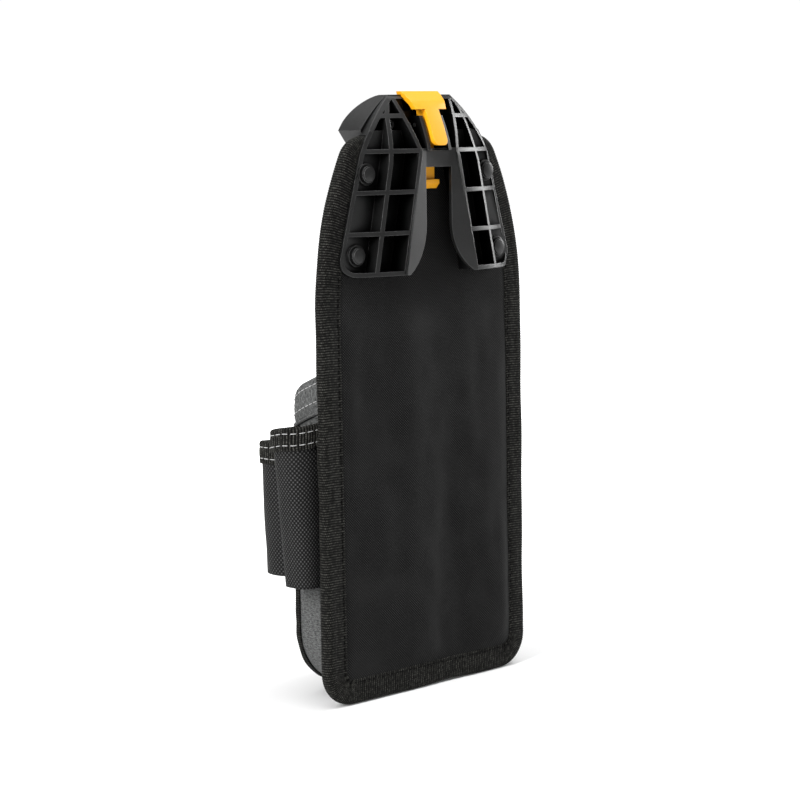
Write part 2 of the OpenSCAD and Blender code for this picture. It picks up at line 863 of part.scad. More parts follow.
module outer_pocket() color(ballistic_color) {
    face_y = pocket_front_y - wall_t;
    difference() {
        wall(face_y - outer_pocket_d, face_y) outer_pocket_outline(0);
        wall(face_y - outer_pocket_d + wall_t, face_y + 1) intersection() {
            outer_pocket_outline(wall_t);
            translate([-100, 0]) square([200, 300]);
        }
        translate([outer_pocket_x - outer_pocket_w / 2 + wall_t, face_y - outer_pocket_d + wall_t,
            outer_pocket_z + outer_pocket_h - 6])
            cube([outer_pocket_w - 2 * wall_t, outer_pocket_d, 10]);
    }
}

module outer_pocket_trim() color(tape_color) {
    face_y = pocket_front_y - wall_t - outer_pocket_d;
    half_w = outer_pocket_w / 2;
    top_z = outer_pocket_z + outer_pocket_h;
    translate([outer_pocket_x, face_y, top_z - trim_h]) difference() {
        translate([-half_w, -trim_t, 0]) cube([2 * half_w, wall_t + 2 * trim_t, trim_h + trim_t]);
        translate([-half_w - 1, 0, -1]) cube([2 * half_w + 2, wall_t, trim_h + 1]);
        // the pocket's two side walls pass through
        both_sides() translate([half_w - wall_t, wall_t - 0.01, -1])
            cube([wall_t + 1, 4, trim_h + 1]);
    }
}

module pen_tube(r, from_z, to_z) {
    intersection() {
        translate([pen_sleeve_x, pocket_front_y - wall_t - pen_sleeve_gap, from_z])
            cylinder(r = r, h = to_z - from_z);
        translate([-100, pocket_front_y - 100, from_z - 1])
            cube([100, 100 - wall_t - (pen_sleeve_r - r) * 0.8, to_z - from_z + 2]);
    }
}

module pen_sleeve() color(ballistic_color) difference() {
    pen_tube(pen_sleeve_r, pen_sleeve_z, pen_sleeve_z + pen_sleeve_h);
    pen_tube(pen_sleeve_r - wall_t, pen_sleeve_z - 1, pen_sleeve_z + pen_sleeve_h + 1);
}

module pen_sleeve_trim() color(tape_color) {
    top_z = pen_sleeve_z + pen_sleeve_h;
    difference() {
        pen_tube(pen_sleeve_r + trim_t, top_z - pen_trim_h, top_z + trim_t);
        pen_tube(pen_sleeve_r, top_z - pen_trim_h - 1, top_z + trim_t + 1);
        translate([-100, pocket_front_y - wall_t, top_z - 20]) cube([100, 10, 40]);
    }
}

// Bars of dense stitching that lock the ends of the hems and the sleeves' mouths
module bar_tacks() color("darkgray") {
    side_x = pocket_half_w + hem_t;
    both_sides() translate([side_x, front_y - tack_w - tack_t, pocket_rear_h - 15])
        cube([tack_t, tack_w, tack_h]);
    for (x = [corner_sleeve_x - corner_sleeve_r, outer_pocket_x + outer_pocket_w / 2])
        translate([x - tack_w - 1.4, pocket_front_y - wall_t - tack_t, front_tack_z])
            cube([tack_w, tack_t, tack_h]);
}

rear_fabric();
foam_pad();
stiffener_board();
front_fabric();
edge_binding();
clip_plate();
clip_cover();
cover_screws();
rivets();
rivet_washers();
latch_lever();
latch_pin();
latch_spring();
pocket_gusset();
gusset_hems();
hem_piping();
pocket_front();
seam_binding();
pocket_front_trim();
side_sleeve();
side_sleeve_trim();
corner_sleeve();
corner_sleeve_trim();
outer_pocket();
outer_pocket_trim();
pen_sleeve();
pen_sleeve_trim();
bar_tacks();
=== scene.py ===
"""Builds the looks of an electrician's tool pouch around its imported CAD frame.

The hard parts (clip, cover, latch, rivets, screws), the panel's two inner layers and the bar
tacks keep their CAD meshes and get materials. Every other sewn part is built here as a new mesh:
the padded back, its binding, the main pocket, its sleeves and their webbing trims, and every
visible stitch. Lengths are in metres, written as millimetres times MM.
"""

import math

import bmesh
import bpy
import numpy as np
from mathutils import Matrix, Vector, noise


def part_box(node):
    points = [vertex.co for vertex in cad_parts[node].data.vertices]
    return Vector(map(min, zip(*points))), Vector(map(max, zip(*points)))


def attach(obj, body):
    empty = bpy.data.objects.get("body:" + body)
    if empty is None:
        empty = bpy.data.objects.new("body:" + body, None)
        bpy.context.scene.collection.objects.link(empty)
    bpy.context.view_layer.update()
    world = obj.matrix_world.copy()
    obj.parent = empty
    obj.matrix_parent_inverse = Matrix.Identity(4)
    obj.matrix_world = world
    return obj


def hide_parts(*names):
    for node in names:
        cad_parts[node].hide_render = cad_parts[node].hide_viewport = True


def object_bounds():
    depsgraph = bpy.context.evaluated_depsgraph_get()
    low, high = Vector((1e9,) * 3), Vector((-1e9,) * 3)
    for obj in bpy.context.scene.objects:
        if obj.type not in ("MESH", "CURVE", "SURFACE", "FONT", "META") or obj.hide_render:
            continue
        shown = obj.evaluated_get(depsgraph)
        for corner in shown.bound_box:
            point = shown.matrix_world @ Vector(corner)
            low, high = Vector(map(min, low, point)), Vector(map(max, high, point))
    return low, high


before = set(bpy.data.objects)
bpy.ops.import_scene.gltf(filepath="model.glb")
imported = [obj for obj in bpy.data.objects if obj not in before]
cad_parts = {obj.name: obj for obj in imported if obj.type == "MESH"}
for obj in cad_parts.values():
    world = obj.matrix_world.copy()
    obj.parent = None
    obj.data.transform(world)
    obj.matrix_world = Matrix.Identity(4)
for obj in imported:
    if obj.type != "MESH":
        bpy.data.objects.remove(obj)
CAD_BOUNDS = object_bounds()
MM = 0.001


# ---- Places taken from the frame ----------------------------------------------------------

PANEL_LOW, PANEL_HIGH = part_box("edge_binding")
HALF_W = PANEL_HIGH.x
REAR_Y = PANEL_HIGH.y
FRONT_Y = PANEL_LOW.y
PANEL_TOP = PANEL_HIGH.z

GUSSET_LOW, GUSSET_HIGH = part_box("pocket_gusset")
POCKET_HALF_W = GUSSET_HIGH.x
POCKET_FLOOR = GUSSET_LOW.z
POCKET_FRONT_Y = GUSSET_LOW.y
POCKET_REAR_TOP = GUSSET_HIGH.z
POCKET_FRONT_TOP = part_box("pocket_front")[1].z
WALL_FRONT_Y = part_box("pocket_front")[0].y
CLIP_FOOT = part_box("clip_plate")[0].z

# Sizes of the cloth and tape, and the panel's and pocket's outlines, as in the CAD model
BINDING_W = 15 * MM
TAPE_T = 0.8 * MM
WALL_T = 1.4 * MM
TRIM_T = 1.1 * MM
TRIM_H = 12.5 * MM
SIDE_ARC_Z = 230 * MM
SIDE_ARC_R = 215 * MM
TOP_CORNER_R = 18 * MM
BOTTOM_CORNER_R = 20 * MM
POCKET_CORNER_R = 36 * MM
SEAM_TAPE_W = 4 * MM
SEAM_SIDE_W = 2 * MM
HEM_H = 21 * MM
RIB_PITCH = 1.5 * MM
WEBBING_PITCH = 1.8 * MM
RIB_BEND = 2.2 * MM


# ---- Lines and curves -----------------------------------------------------------------------

def arc(centre, radius, start, end, steps=24):
    """Points of an arc between two angles in degrees, both ends included."""
    angles = np.radians(np.linspace(start, end, steps + 1))
    return np.array(centre) + radius * np.stack([np.cos(angles), np.sin(angles)], 1)


def distances(points):
    """How far along a line each of its points lies."""
    return np.r_[0, np.cumsum(np.linalg.norm(np.diff(points, axis=0), axis=1))]


def evenly_spaced(points, step):
    """The same line with its points about one step apart."""
    along = distances(points)
    wanted = np.linspace(0, along[-1], max(2, round(along[-1] / step)) + 1)
    return np.stack([np.interp(wanted, along, points[:, k]) for k in range(points.shape[1])], 1)


def unit(vectors):
    """The same vectors with a length of 1."""
    return vectors / np.maximum(np.linalg.norm(vectors, axis=-1, keepdims=True), 1e-12)


def right_of(points, closed=False):
    """Unit vectors to the right of a 2D line's direction."""
    if closed:
        way = np.roll(points[:-1], -1, 0) - np.roll(points[:-1], 1, 0)
        way = np.vstack([way, way[:1]])
    else:
        way = np.gradient(points, axis=0)
    way = unit(way)
    return np.stack([way[:, 1], -way[:, 0]], 1)


def smooth_noise(points, size, seed):
    """Smooth noise from about -1 to 1 that changes over the given size."""
    flat = points.reshape(-1, 3) / size
    values = [noise.noise(Vector((p[0] + seed, p[1] - seed, p[2] + 2 * seed))) for p in flat]
    return np.array(values).reshape(points.shape[:-1])


def ramp(x, low, high):
    """0 below low, 1 above high, smooth in between."""
    t = np.clip((x - low) / (high - low), 0, 1)
    return t * t * (3 - 2 * t)


# ---- Meshes -----------------------------------------------------------------------------------

def add_object(name, mesh, material):
    """A new smooth piece of the pouch's body."""
    piece = bpy.data.objects.new(name, mesh)
    bpy.context.scene.collection.objects.link(piece)
    if material:
        mesh.materials.append(material)
    mesh.polygons.foreach_set("use_smooth", [True] * len(mesh.polygons))
    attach(piece, "pouch")
    return piece


def grid_piece(name, grid, uv, material, caps=False):
    """A mesh over a rows by columns grid of points, welded where the grid meets itself. uv is in
    millimetres on the cloth. caps closes the first and last rows."""
    rows, columns = grid.shape[:2]
    index = np.arange(rows * columns).reshape(rows, columns)
    quads = np.stack([index[:-1, :-1], index[1:, :-1], index[1:, 1:], index[:-1, 1:]], -1)
    faces = quads.reshape(-1, 4).tolist()
    if caps:
        faces += [index[0, :-1].tolist(), index[-1, -2::-1].tolist()]
    mesh = bpy.data.meshes.new(name)
    mesh.from_pydata(grid.reshape(-1, 3).tolist(), [], faces)
    corners = np.zeros(len(mesh.loops), dtype=np.int64)
    mesh.loops.foreach_get("vertex_index", corners)
    layer = mesh.uv_layers.new(name="cloth_mm")
    layer.data.foreach_set("uv", uv.reshape(-1, 2)[corners].astype(np.float32).ravel())
    weld(mesh)
    return add_object(name, mesh, material)


def weld(mesh):
    """Joins points that coincide and turns every face outwards."""
    work = bmesh.new()
    work.from_mesh(mesh)
    bmesh.ops.remove_doubles(work, verts=work.verts, dist=2e-6)
    bmesh.ops.recalc_face_normals(work, faces=work.faces)
    work.to_mesh(mesh)
    work.free()


def merge(name, pieces):
    """Joins pieces of one material into one piece."""
    work = bmesh.new()
    for piece in pieces:
        work.from_mesh(piece.data)
    mesh = bpy.data.meshes.new(name)
    work.to_mesh(mesh)
    work.free()
    material = pieces[0].data.materials[0]
    for piece in pieces:
        bpy.data.objects.remove(piece)
    return add_object(name, mesh, material)


def sweep(name, path, across, up, profile, material, relief=None, caps=False):
    """Sweeps a closed profile along a path. Profile points are distances along two unit vectors,
    across and up, given at each path point. relief moves each point outwards from the profile."""
    outward = right_of(profile, closed=True)
    centre = profile[:-1].mean(0)
    if ((profile - centre) * outward).sum() < 0:
        outward = -outward
    offsets = np.repeat(profile[None], len(path), 0)
    if relief is not None:
        offsets = offsets + relief[..., None] * outward[None]
    grid = path[:, None] + offsets[..., :1] * across[:, None] + offsets[..., 1:] * up[:, None]
    u = np.repeat(distances(profile)[None], len(path), 0)
    v = np.repeat(distances(path)[:, None], len(profile), 1)
    return grid_piece(name, grid, np.stack([u, v], -1) / MM, material, caps)


def tape_ribs(path, profile, pitch=RIB_PITCH, height=0.13 * MM):
    """Relief of a grosgrain tape, whose ribs run across it and bend a little."""
    along = distances(path)[:, None]
    across = distances(profile)[None]
    wave = np.cos(2 * np.pi * along / pitch + 0.5 * np.sin(across / RIB_BEND))
    uneven = 1 + 0.25 * smooth_noise(path, 2.6 * MM, 5.0)[:, None]
    return height * wave * uneven


def stitches(name, path, outward, material, length=4.1 * MM, gap=1.4 * MM, radius=0.22 * MM):
    """A row of thread stitches along a path. Each is a short thread that dips into the cloth at
    both ends."""
    lift = 0.12 * MM
    along = distances(path)
    count = max(1, int((along[-1] + gap) / (length + gap)))
    start = (along[-1] - count * (length + gap) + gap) / 2
    rings, sides = 9, 8
    turn = np.radians(np.arange(sides + 1) * 360 / sides)
    cos, sin = np.cos(turn)[None, :, None], np.sin(turn)[None, :, None]
    arch = np.sqrt(np.clip(1 - np.linspace(-1, 1, rings) ** 4, 0, 1))
    thick = radius * (0.25 + 0.75 * arch)
    uv = np.stack(np.meshgrid(np.arange(sides + 1), np.arange(rings)), -1).astype(float)
    pieces = []
    for i in range(count):
        at = start + i * (length + gap) + length * np.linspace(0, 1, rings)
        centre = np.stack([np.interp(at, along, path[:, k]) for k in range(3)], 1)
        out = unit(np.stack([np.interp(at, along, outward[:, k]) for k in range(3)], 1))
        side = unit(np.cross(np.gradient(centre, axis=0), out))
        centre = centre + out * ((lift + radius) * arch - radius)[:, None]
        ring = cos * out[:, None] + sin * side[:, None]
        grid = centre[:, None] + thick[:, None, None] * ring
        pieces.append(grid_piece(f"{name}_{i}", grid, uv, material, caps=True))
    return merge(name, pieces)


# ---- Materials ----------------------------------------------------------------------------------

class Recipe:
    """A material's node tree, with short calls for adding to it."""

    def __init__(self, name):
        self.material = bpy.data.materials.new(name)
        self.material.use_nodes = True
        self.tree = self.material.node_tree
        self.shader = self.tree.nodes["Principled BSDF"]

    def node(self, kind, **inputs):
        made = self.tree.nodes.new(kind)
        for key, value in inputs.items():
            target = made.inputs[key.replace("_", " ")]
            if isinstance(value, bpy.types.NodeSocket):
                self.tree.links.new(value, target)
            else:
                target.default_value = value
        return made

    def math(self, operation, a, b=0.0, clamp=False):
        made = self.tree.nodes.new("ShaderNodeMath")
        made.operation = operation
        made.use_clamp = clamp
        for place, value in enumerate((a, b)):
            if isinstance(value, bpy.types.NodeSocket):
                self.tree.links.new(value, made.inputs[place])
            else:
                made.inputs[place].default_value = value
        return made.outputs[0]

    def mix(self, share, a, b):
        made = self.tree.nodes.new("ShaderNodeMix")
        made.data_type = "RGBA"
        for place, value in ((0, share), (6, a), (7, b)):
            if isinstance(value, bpy.types.NodeSocket):
                self.tree.links.new(value, made.inputs[place])
            else:
                made.inputs[place].default_value = value
        return made.outputs[2]

    def noise(self, scale, detail=3.0, coordinates=None, roughness=0.5):
        made = self.node("ShaderNodeTexNoise", Scale=scale, Detail=detail, Roughness=roughness)
        source = coordinates or self.node("ShaderNodeTexCoord").outputs["Object"]
        self.tree.links.new(source, made.inputs["Vector"])
        return made.outputs["Fac"]

    def cloth_coordinates(self):
        """Millimetres across and along the cloth."""
        place = self.node("ShaderNodeUVMap").outputs["UV"]
        parts = self.node("ShaderNodeSeparateXYZ", Vector=place)
        return parts.outputs["X"], parts.outputs["Y"]

    def stretch(self, value, low, high):
        """The value spread so that low becomes 0 and high becomes 1."""
        return self.math("DIVIDE", self.math("SUBTRACT", value, low), high - low, clamp=True)

    def set(self, **inputs):
        for key, value in inputs.items():
            target = self.shader.inputs[key.replace("_", " ")]
            if isinstance(value, bpy.types.NodeSocket):
                self.tree.links.new(value, target)
            else:
                target.default_value = value

    def bump(self, height, distance, strength=1.0, below=None):
        made = self.node("ShaderNodeBump", Height=height, Distance=distance, Strength=strength)
        if below is not None:
            self.tree.links.new(below, made.inputs["Normal"])
        return made.outputs["Normal"]


def rgb(value, tint=(1.0, 1.0, 1.0)):
    """A grey with a slight tint."""
    return (value * tint[0], value * tint[1], value * tint[2], 1.0)


def crossed_threads(recipe, pitch):
    """Height from 0 to 1 of a plain weave: each thread humps over every second crossing."""
    across, along = recipe.cloth_coordinates()
    wave_a = recipe.math("SINE", recipe.math("MULTIPLY", across, math.pi / pitch))
    wave_b = recipe.math("SINE", recipe.math("MULTIPLY", along, math.pi / pitch))
    product = recipe.math("MULTIPLY", wave_a, wave_b)
    return recipe.math("ADD", recipe.math("MULTIPLY", product, 0.5), 0.5)


def woven(name, dark, light, pitch, relief, roughness, sheen, blotch, crispness):
    """Cloth in a plain or basket weave. pitch and relief are in millimetres. blotch is how far
    patches of wear lighten it, and crispness how small the light tops of its threads are."""
    recipe = Recipe(name)
    weave = crossed_threads(recipe, pitch)
    fibre = recipe.noise(2600.0, 2.0)
    tone = recipe.noise(38.0, 4.0)
    height = recipe.math("ADD", weave, recipe.math("MULTIPLY", fibre, 0.35))
    lit = recipe.math("POWER", weave, crispness)
    lit = recipe.math("MULTIPLY", lit, recipe.math("ADD", recipe.math("MULTIPLY", fibre, 1.1), 0.35))
    colour = recipe.mix(lit, rgb(dark), rgb(light))
    wear_and_highlight = recipe.math("MULTIPLY", recipe.stretch(tone, 0.42, 0.7), blotch)
    colour = recipe.mix(wear_and_highlight, colour, rgb(light * 0.8 + dark * 0.2))
    recipe.set(Base_Color=colour, Roughness=roughness, Sheen_Weight=sheen, Sheen_Roughness=0.45,
               Specular_IOR_Level=0.12, Normal=recipe.bump(height, relief * MM, 0.9))
    return recipe.material


def ribbed_tape(name, dark, light, pitch, relief, tint):
    """Grosgrain tape or webbing: cord-like ribs across the tape, each made of finer yarns. pitch
    and relief are in millimetres. The ribs follow those of tape_ribs."""
    recipe = Recipe(name)
    across, along = recipe.cloth_coordinates()
    bend = recipe.math("SINE", recipe.math("DIVIDE", across, RIB_BEND / MM))
    phase = recipe.math("ADD", recipe.math("MULTIPLY", along, 2 * math.pi / pitch),
                        recipe.math("MULTIPLY", bend, 0.5))
    rib = recipe.math("ADD", recipe.math("MULTIPLY", recipe.math("COSINE", phase), 0.5), 0.5)
    half = recipe.math("MULTIPLY", phase, 0.5)
    yarn_phase = recipe.math("MULTIPLY", across, 2 * math.pi / 1.15)
    yarn = recipe.math("MULTIPLY", recipe.math("COSINE", half), recipe.math("SINE", yarn_phase))
    yarn = recipe.math("ADD", recipe.math("MULTIPLY", yarn, 0.5), 0.5)
    fibre = recipe.noise(2200.0, 2.0)
    height = recipe.math("ADD", recipe.math("MULTIPLY", rib, 0.75),
                         recipe.math("MULTIPLY", yarn, 0.33))
    fray = recipe.stretch(recipe.noise(650.0, 3.0), 0.42, 0.66)
    lit = recipe.math("MULTIPLY", recipe.math("POWER", height, 2.6), recipe.math("ADD", fibre, 0.35))
    lit = recipe.math("MULTIPLY", lit, recipe.math("ADD", fray, 0.25))
    tone = recipe.stretch(recipe.noise(60.0, 4.0), 0.35, 0.75)
    colour = recipe.mix(lit, rgb(dark, tint), rgb(light, tint))
    colour = recipe.mix(recipe.math("MULTIPLY", tone, 0.3), colour, rgb(dark * 1.6, tint))
    height = recipe.math("ADD", height, recipe.math("MULTIPLY", fibre, 0.25))
    recipe.set(Base_Color=colour, Roughness=0.75, Sheen_Weight=0.02, Sheen_Roughness=0.5,
               Specular_IOR_Level=0.08, Normal=recipe.bump(height, relief * MM, 0.9))
    return recipe.material


def heather_canvas(name):
    """Grey canvas of mixed light and dark yarns."""
    recipe = Recipe(name)
    weave = crossed_threads(recipe, 0.55)
    across, along = recipe.cloth_coordinates()
    place = recipe.node("ShaderNodeCombineXYZ", X=recipe.math("MULTIPLY", across, 0.35), Y=along)
    streak = recipe.noise(1.2, 3.0, place.outputs["Vector"], roughness=0.65)
    fibre = recipe.noise(1900.0, 3.0)
    shade = recipe.math("ADD", recipe.math("MULTIPLY", streak, 0.7),
                        recipe.math("MULTIPLY", fibre, 0.4))
    colour = recipe.mix(recipe.stretch(shade, 0.42, 0.72), rgb(0.02, (0.99, 1.0, 0.99)),
                        rgb(0.19, (0.98, 1.0, 0.99)))
    wear_and_highlight = recipe.stretch(recipe.noise(30.0, 4.0), 0.4, 0.7)
    colour = recipe.mix(recipe.math("MULTIPLY", wear_and_highlight, 0.25), colour, rgb(0.13))
    height = recipe.math("ADD", weave, recipe.math("MULTIPLY", fibre, 0.5))
    recipe.set(Base_Color=colour, Roughness=0.9, Sheen_Weight=0.05, Sheen_Roughness=0.4,
               Specular_IOR_Level=0.12, Normal=recipe.bump(height, 0.16 * MM, 0.9))
    return recipe.material


def moulded(name, colour, light, edge_wear_and_highlight, roughness, grain=0.05, wear_and_highlight=0.5, shade_reach=0.0):
    """Injection moulded plastic: spark-eroded grain, soft swirls, edges lighter by wear and a painted
    highlight.
    shade_reach is how deep a recess must be for painted shade to darken it fully."""
    recipe = Recipe(name)
    fine = recipe.noise(4200.0, 2.0)
    cloud = recipe.noise(45.0, 5.0, roughness=0.6)
    scuff = recipe.noise(260.0, 6.0, roughness=0.7)
    shine = recipe.math("ADD", recipe.math("MULTIPLY", cloud, 0.16), roughness - 0.08)
    shine = recipe.math("ADD", shine, recipe.math("MULTIPLY", scuff, 0.06))
    rounded = recipe.node("ShaderNodeBevel", Radius=0.55 * MM)
    rounded.samples = 6
    flat = recipe.node("ShaderNodeNewGeometry").outputs["Normal"]
    bend = recipe.tree.nodes.new("ShaderNodeVectorMath")
    bend.operation = "DOT_PRODUCT"
    recipe.tree.links.new(rounded.outputs["Normal"], bend.inputs[0])
    recipe.tree.links.new(flat, bend.inputs[1])
    # lighter colour along the rounded edges, patchy with the scuff noise: partly wear from rubbing,
    # partly a painted highlight
    edge = recipe.math("SUBTRACT", 1.0, bend.outputs["Value"])
    edge = recipe.math("MULTIPLY", recipe.stretch(edge, 0.02, 0.3), recipe.stretch(scuff, 0.3, 0.75))
    base = recipe.mix(recipe.math("MULTIPLY", cloud, 0.35), colour, light)
    base = recipe.mix(recipe.math("MULTIPLY", edge, wear_and_highlight), base, edge_wear_and_highlight)
    shine_level = 0.5
    # painted shade: ambient occlusion darkens the colour and lowers the specular level in recesses
    if shade_reach:
        open_air = recipe.node("ShaderNodeAmbientOcclusion", Distance=shade_reach).outputs["AO"]
        shade = recipe.stretch(recipe.math("POWER", open_air, 2.0), 0.0, 0.7)
        base = recipe.mix(shade, rgb(0.0), base)
        shine_level = recipe.math("MULTIPLY", shade, shine_level)
    recipe.set(Base_Color=base, Roughness=shine, Specular_IOR_Level=shine_level,
               Normal=recipe.bump(fine, grain * MM, 0.6, below=rounded.outputs["Normal"]))
    return recipe.material


def metal(name, colour, roughness):
    recipe = Recipe(name)
    wear = recipe.noise(420.0, 5.0)
    brushed = recipe.noise(3000.0, 2.0)
    recipe.set(Base_Color=recipe.mix(wear, colour, rgb(colour[0] * 0.6)), Metallic=1.0,
               Roughness=recipe.math("ADD", recipe.math("MULTIPLY", wear, 0.2), roughness),
               Normal=recipe.bump(brushed, 0.02 * MM, 0.5))
    return recipe.material


def thread(name, colour, sheen):
    recipe = Recipe(name)
    twist = recipe.noise(2400.0, 2.0)
    recipe.set(Base_Color=recipe.mix(twist, rgb(colour * 0.6), rgb(colour)), Roughness=0.7,
               Sheen_Weight=sheen, Specular_IOR_Level=sheen,
               Normal=recipe.bump(twist, 0.08 * MM, 0.7))
    return recipe.material


def foam(name):
    recipe = Recipe(name)
    place = recipe.node("ShaderNodeTexCoord").outputs["Object"]
    cells = recipe.node("ShaderNodeTexVoronoi", Scale=1500.0, Vector=place).outputs["Distance"]
    recipe.set(Base_Color=recipe.mix(cells, rgb(0.03), rgb(0.09)), Roughness=0.95,
               Normal=recipe.bump(cells, 0.1 * MM))
    return recipe.material


OLIVE = (1.0, 0.99, 0.88)
BACK_CLOTH = woven("back_cloth", 0.0012, 0.05, 0.8, 0.12, roughness=0.8, sheen=0.01,
                   blotch=0.1, crispness=4.5)
BALLISTIC = woven("ballistic_cloth", 0.0012, 0.1, 1.35, 0.35, roughness=0.6, sheen=0.0,
                  blotch=0.03, crispness=3.6)
BINDING_TAPE = ribbed_tape("binding_tape", 0.0012, 0.072, RIB_PITCH / MM, 0.16, OLIVE)
WEBBING = ribbed_tape("webbing", 0.0012, 0.1, WEBBING_PITCH / MM, 0.25, OLIVE)
CANVAS = heather_canvas("grey_canvas")
LIGHT_THREAD = thread("light_thread", 0.62, sheen=0.3)
DARK_THREAD = thread("dark_thread", 0.002, sheen=0.03)
# clip_plastic's shade_reach adds painted shade in its recesses
# the third colour of each plastic is its lighter edge colour: wear from rubbing and a painted
# highlight
CLIP_PLASTIC = moulded("clip_plastic", rgb(0.003), rgb(0.03, (0.98, 1.0, 1.0)),
                       rgb(0.16), 0.34, wear_and_highlight=0.8, shade_reach=22 * MM)
LATCH_PLASTIC = moulded("latch_plastic", (0.94, 0.4, 0.008, 1), (1.0, 0.5, 0.02, 1),
                        (1.0, 0.6, 0.1, 1), 0.35, grain=0.02, wear_and_highlight=0.3)
DARK_STEEL = metal("dark_steel", rgb(0.09), 0.35)
BRIGHT_STEEL = metal("bright_steel", rgb(0.6), 0.25)
FOAM = foam("foam")
BOARD = moulded("board", rgb(0.5), rgb(0.58), rgb(0.6), 0.5)


# ---- Hard parts -----------------------------------------------------------------------------

def keep_cad(node, material, bevel=0.0):
    """Shows a CAD node as it is, with a material and, where there is room, rounded edges."""
    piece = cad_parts[node]
    piece.data.materials.clear()
    piece.data.materials.append(material)
    piece.data.polygons.foreach_set("use_smooth", [True] * len(piece.data.polygons))
    piece.modifiers.new("weld", "WELD").merge_threshold = 2e-6
    if bevel:
        rounding = piece.modifiers.new("rounding", "BEVEL")
        rounding.width = bevel
        rounding.segments = 2
        rounding.limit_method = "ANGLE"
        rounding.angle_limit = math.radians(40)
    sharp = piece.modifiers.new("sharp", "EDGE_SPLIT")
    sharp.split_angle = math.radians(32)
    return piece


keep_cad("clip_plate", CLIP_PLASTIC)
keep_cad("clip_cover", CLIP_PLASTIC)
keep_cad("rivets", CLIP_PLASTIC, 0.35 * MM)
keep_cad("latch_lever", LATCH_PLASTIC)
keep_cad("rivet_washers", BRIGHT_STEEL, 0.2 * MM)
keep_cad("cover_screws", DARK_STEEL)
keep_cad("latch_pin", BRIGHT_STEEL)
keep_cad("latch_spring", BRIGHT_STEEL)
keep_cad("foam_pad", FOAM)
keep_cad("stiffener_board", BOARD)
keep_cad("bar_tacks", LIGHT_THREAD, 0.15 * MM)


# ---- Back panel -----------------------------------------------------------------------------

def panel_outline(step=0.4 * MM):
    """The panel's closed outline in X and Z, anticlockwise seen from the front, from the middle
    of the bottom edge."""
    side_centre = (HALF_W - SIDE_ARC_R, SIDE_ARC_Z)
    reach = SIDE_ARC_R - TOP_CORNER_R
    rise = PANEL_TOP - TOP_CORNER_R - SIDE_ARC_Z
    turn = math.degrees(math.asin(rise / reach))
    top_x = side_centre[0] + reach * math.cos(math.radians(turn))
    foot = (HALF_W - BOTTOM_CORNER_R, BOTTOM_CORNER_R)
    half = np.vstack([
        [[0, 0]],
        arc(foot, BOTTOM_CORNER_R, -90, 0),
        arc(side_centre, SIDE_ARC_R, 0, turn),
        arc((top_x, PANEL_TOP - TOP_CORNER_R), TOP_CORNER_R, turn, 90),
        [[0, PANEL_TOP]],
    ])
    other = half[::-1] * (-1, 1)
    return evenly_spaced(np.vstack([half, other[1:]]), step)


def in_panel_plane(flat, y=0.0):
    return np.stack([flat[:, 0], np.full(len(flat), y), flat[:, 1]], 1)


def binding_profile():
    """Section of the tape folded over the panel's edge: distance out from the edge, then Y."""
    half_t = REAR_Y
    bend = 3.2 * MM
    outer = np.vstack([
        [[-BINDING_W, half_t - 0.75 * MM]],
        arc((-BINDING_W + 0.5 * MM, half_t - 0.6 * MM), 0.5 * MM, 180, 90, 4),
        [[-BINDING_W + 2.2 * MM, half_t - 0.45 * MM]],
        [[-BINDING_W + 4.5 * MM, half_t - 0.08 * MM]],
        [[-bend - 3 * MM, half_t]],
        arc((-bend, half_t - bend), bend, 90, 0, 10),
    ])
    outer = evenly_spaced(outer, 0.9 * MM)
    outer = np.vstack([outer, outer[::-1] * (1, -1)])
    inner = np.array([[-BINDING_W, -half_t + 2 * TAPE_T], [-TAPE_T * 1.5, 0],
                      [-BINDING_W, half_t - 2 * TAPE_T]])
    return np.vstack([outer, inner, outer[:1]])


def build_binding():
    flat = panel_outline()
    path = in_panel_plane(flat)
    out = right_of(flat, closed=True)
    across = in_panel_plane(out)
    across[:, 1] = 0
    up = np.tile([0.0, 1.0, 0.0], (len(path), 1))
    profile = binding_profile()
    relief = tape_ribs(path, profile)
    waves = smooth_noise(path, 34 * MM, 3.0)[:, None] * 0.8 * MM
    relief = relief + waves * (profile[:, 0] > -6 * MM)[None]
    piece = sweep("binding_tape", path, across, up, profile, BINDING_TAPE, relief)
    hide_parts("edge_binding")
    inset = BINDING_W - 2.1 * MM
    every = 3
    for side, name in ((1, "rear"), (-1, "front")):
        row = path - across * inset + up * side * (REAR_Y - 0.42 * MM)
        made = stitches(f"binding_stitches_{name}", row[::every], up[::every] * side, DARK_THREAD,
                        length=2.6 * MM, gap=1.2 * MM, radius=0.3 * MM)


def inset_distance(x, z):
    """How far each point lies inside the panel's outline."""
    flat = panel_outline(4 * MM)
    gap = np.sqrt((x[:, None] - flat[None, :, 0]) ** 2 + (z[:, None] - flat[None, :, 1]) ** 2)
    return gap.min(1)


def slab(name, outline, low_y, high_y):
    """A closed flat slab from an outline in X and Z."""
    work = bmesh.new()
    ring = [work.verts.new((x, low_y, z)) for x, z in outline]
    face = work.faces.new(ring)
    lifted = bmesh.ops.extrude_face_region(work, geom=[face])
    for item in lifted["geom"]:
        if isinstance(item, bmesh.types.BMVert):
            item.co.y = high_y
    bmesh.ops.recalc_face_normals(work, faces=work.faces)
    mesh = bpy.data.meshes.new(name)
    work.to_mesh(mesh)
    work.free()
    return mesh


def apply_modifiers(piece):
    graph = bpy.context.evaluated_depsgraph_get()
    mesh = bpy.data.meshes.new_from_object(piece.evaluated_get(graph))
    piece.modifiers.clear()
    piece.data = mesh


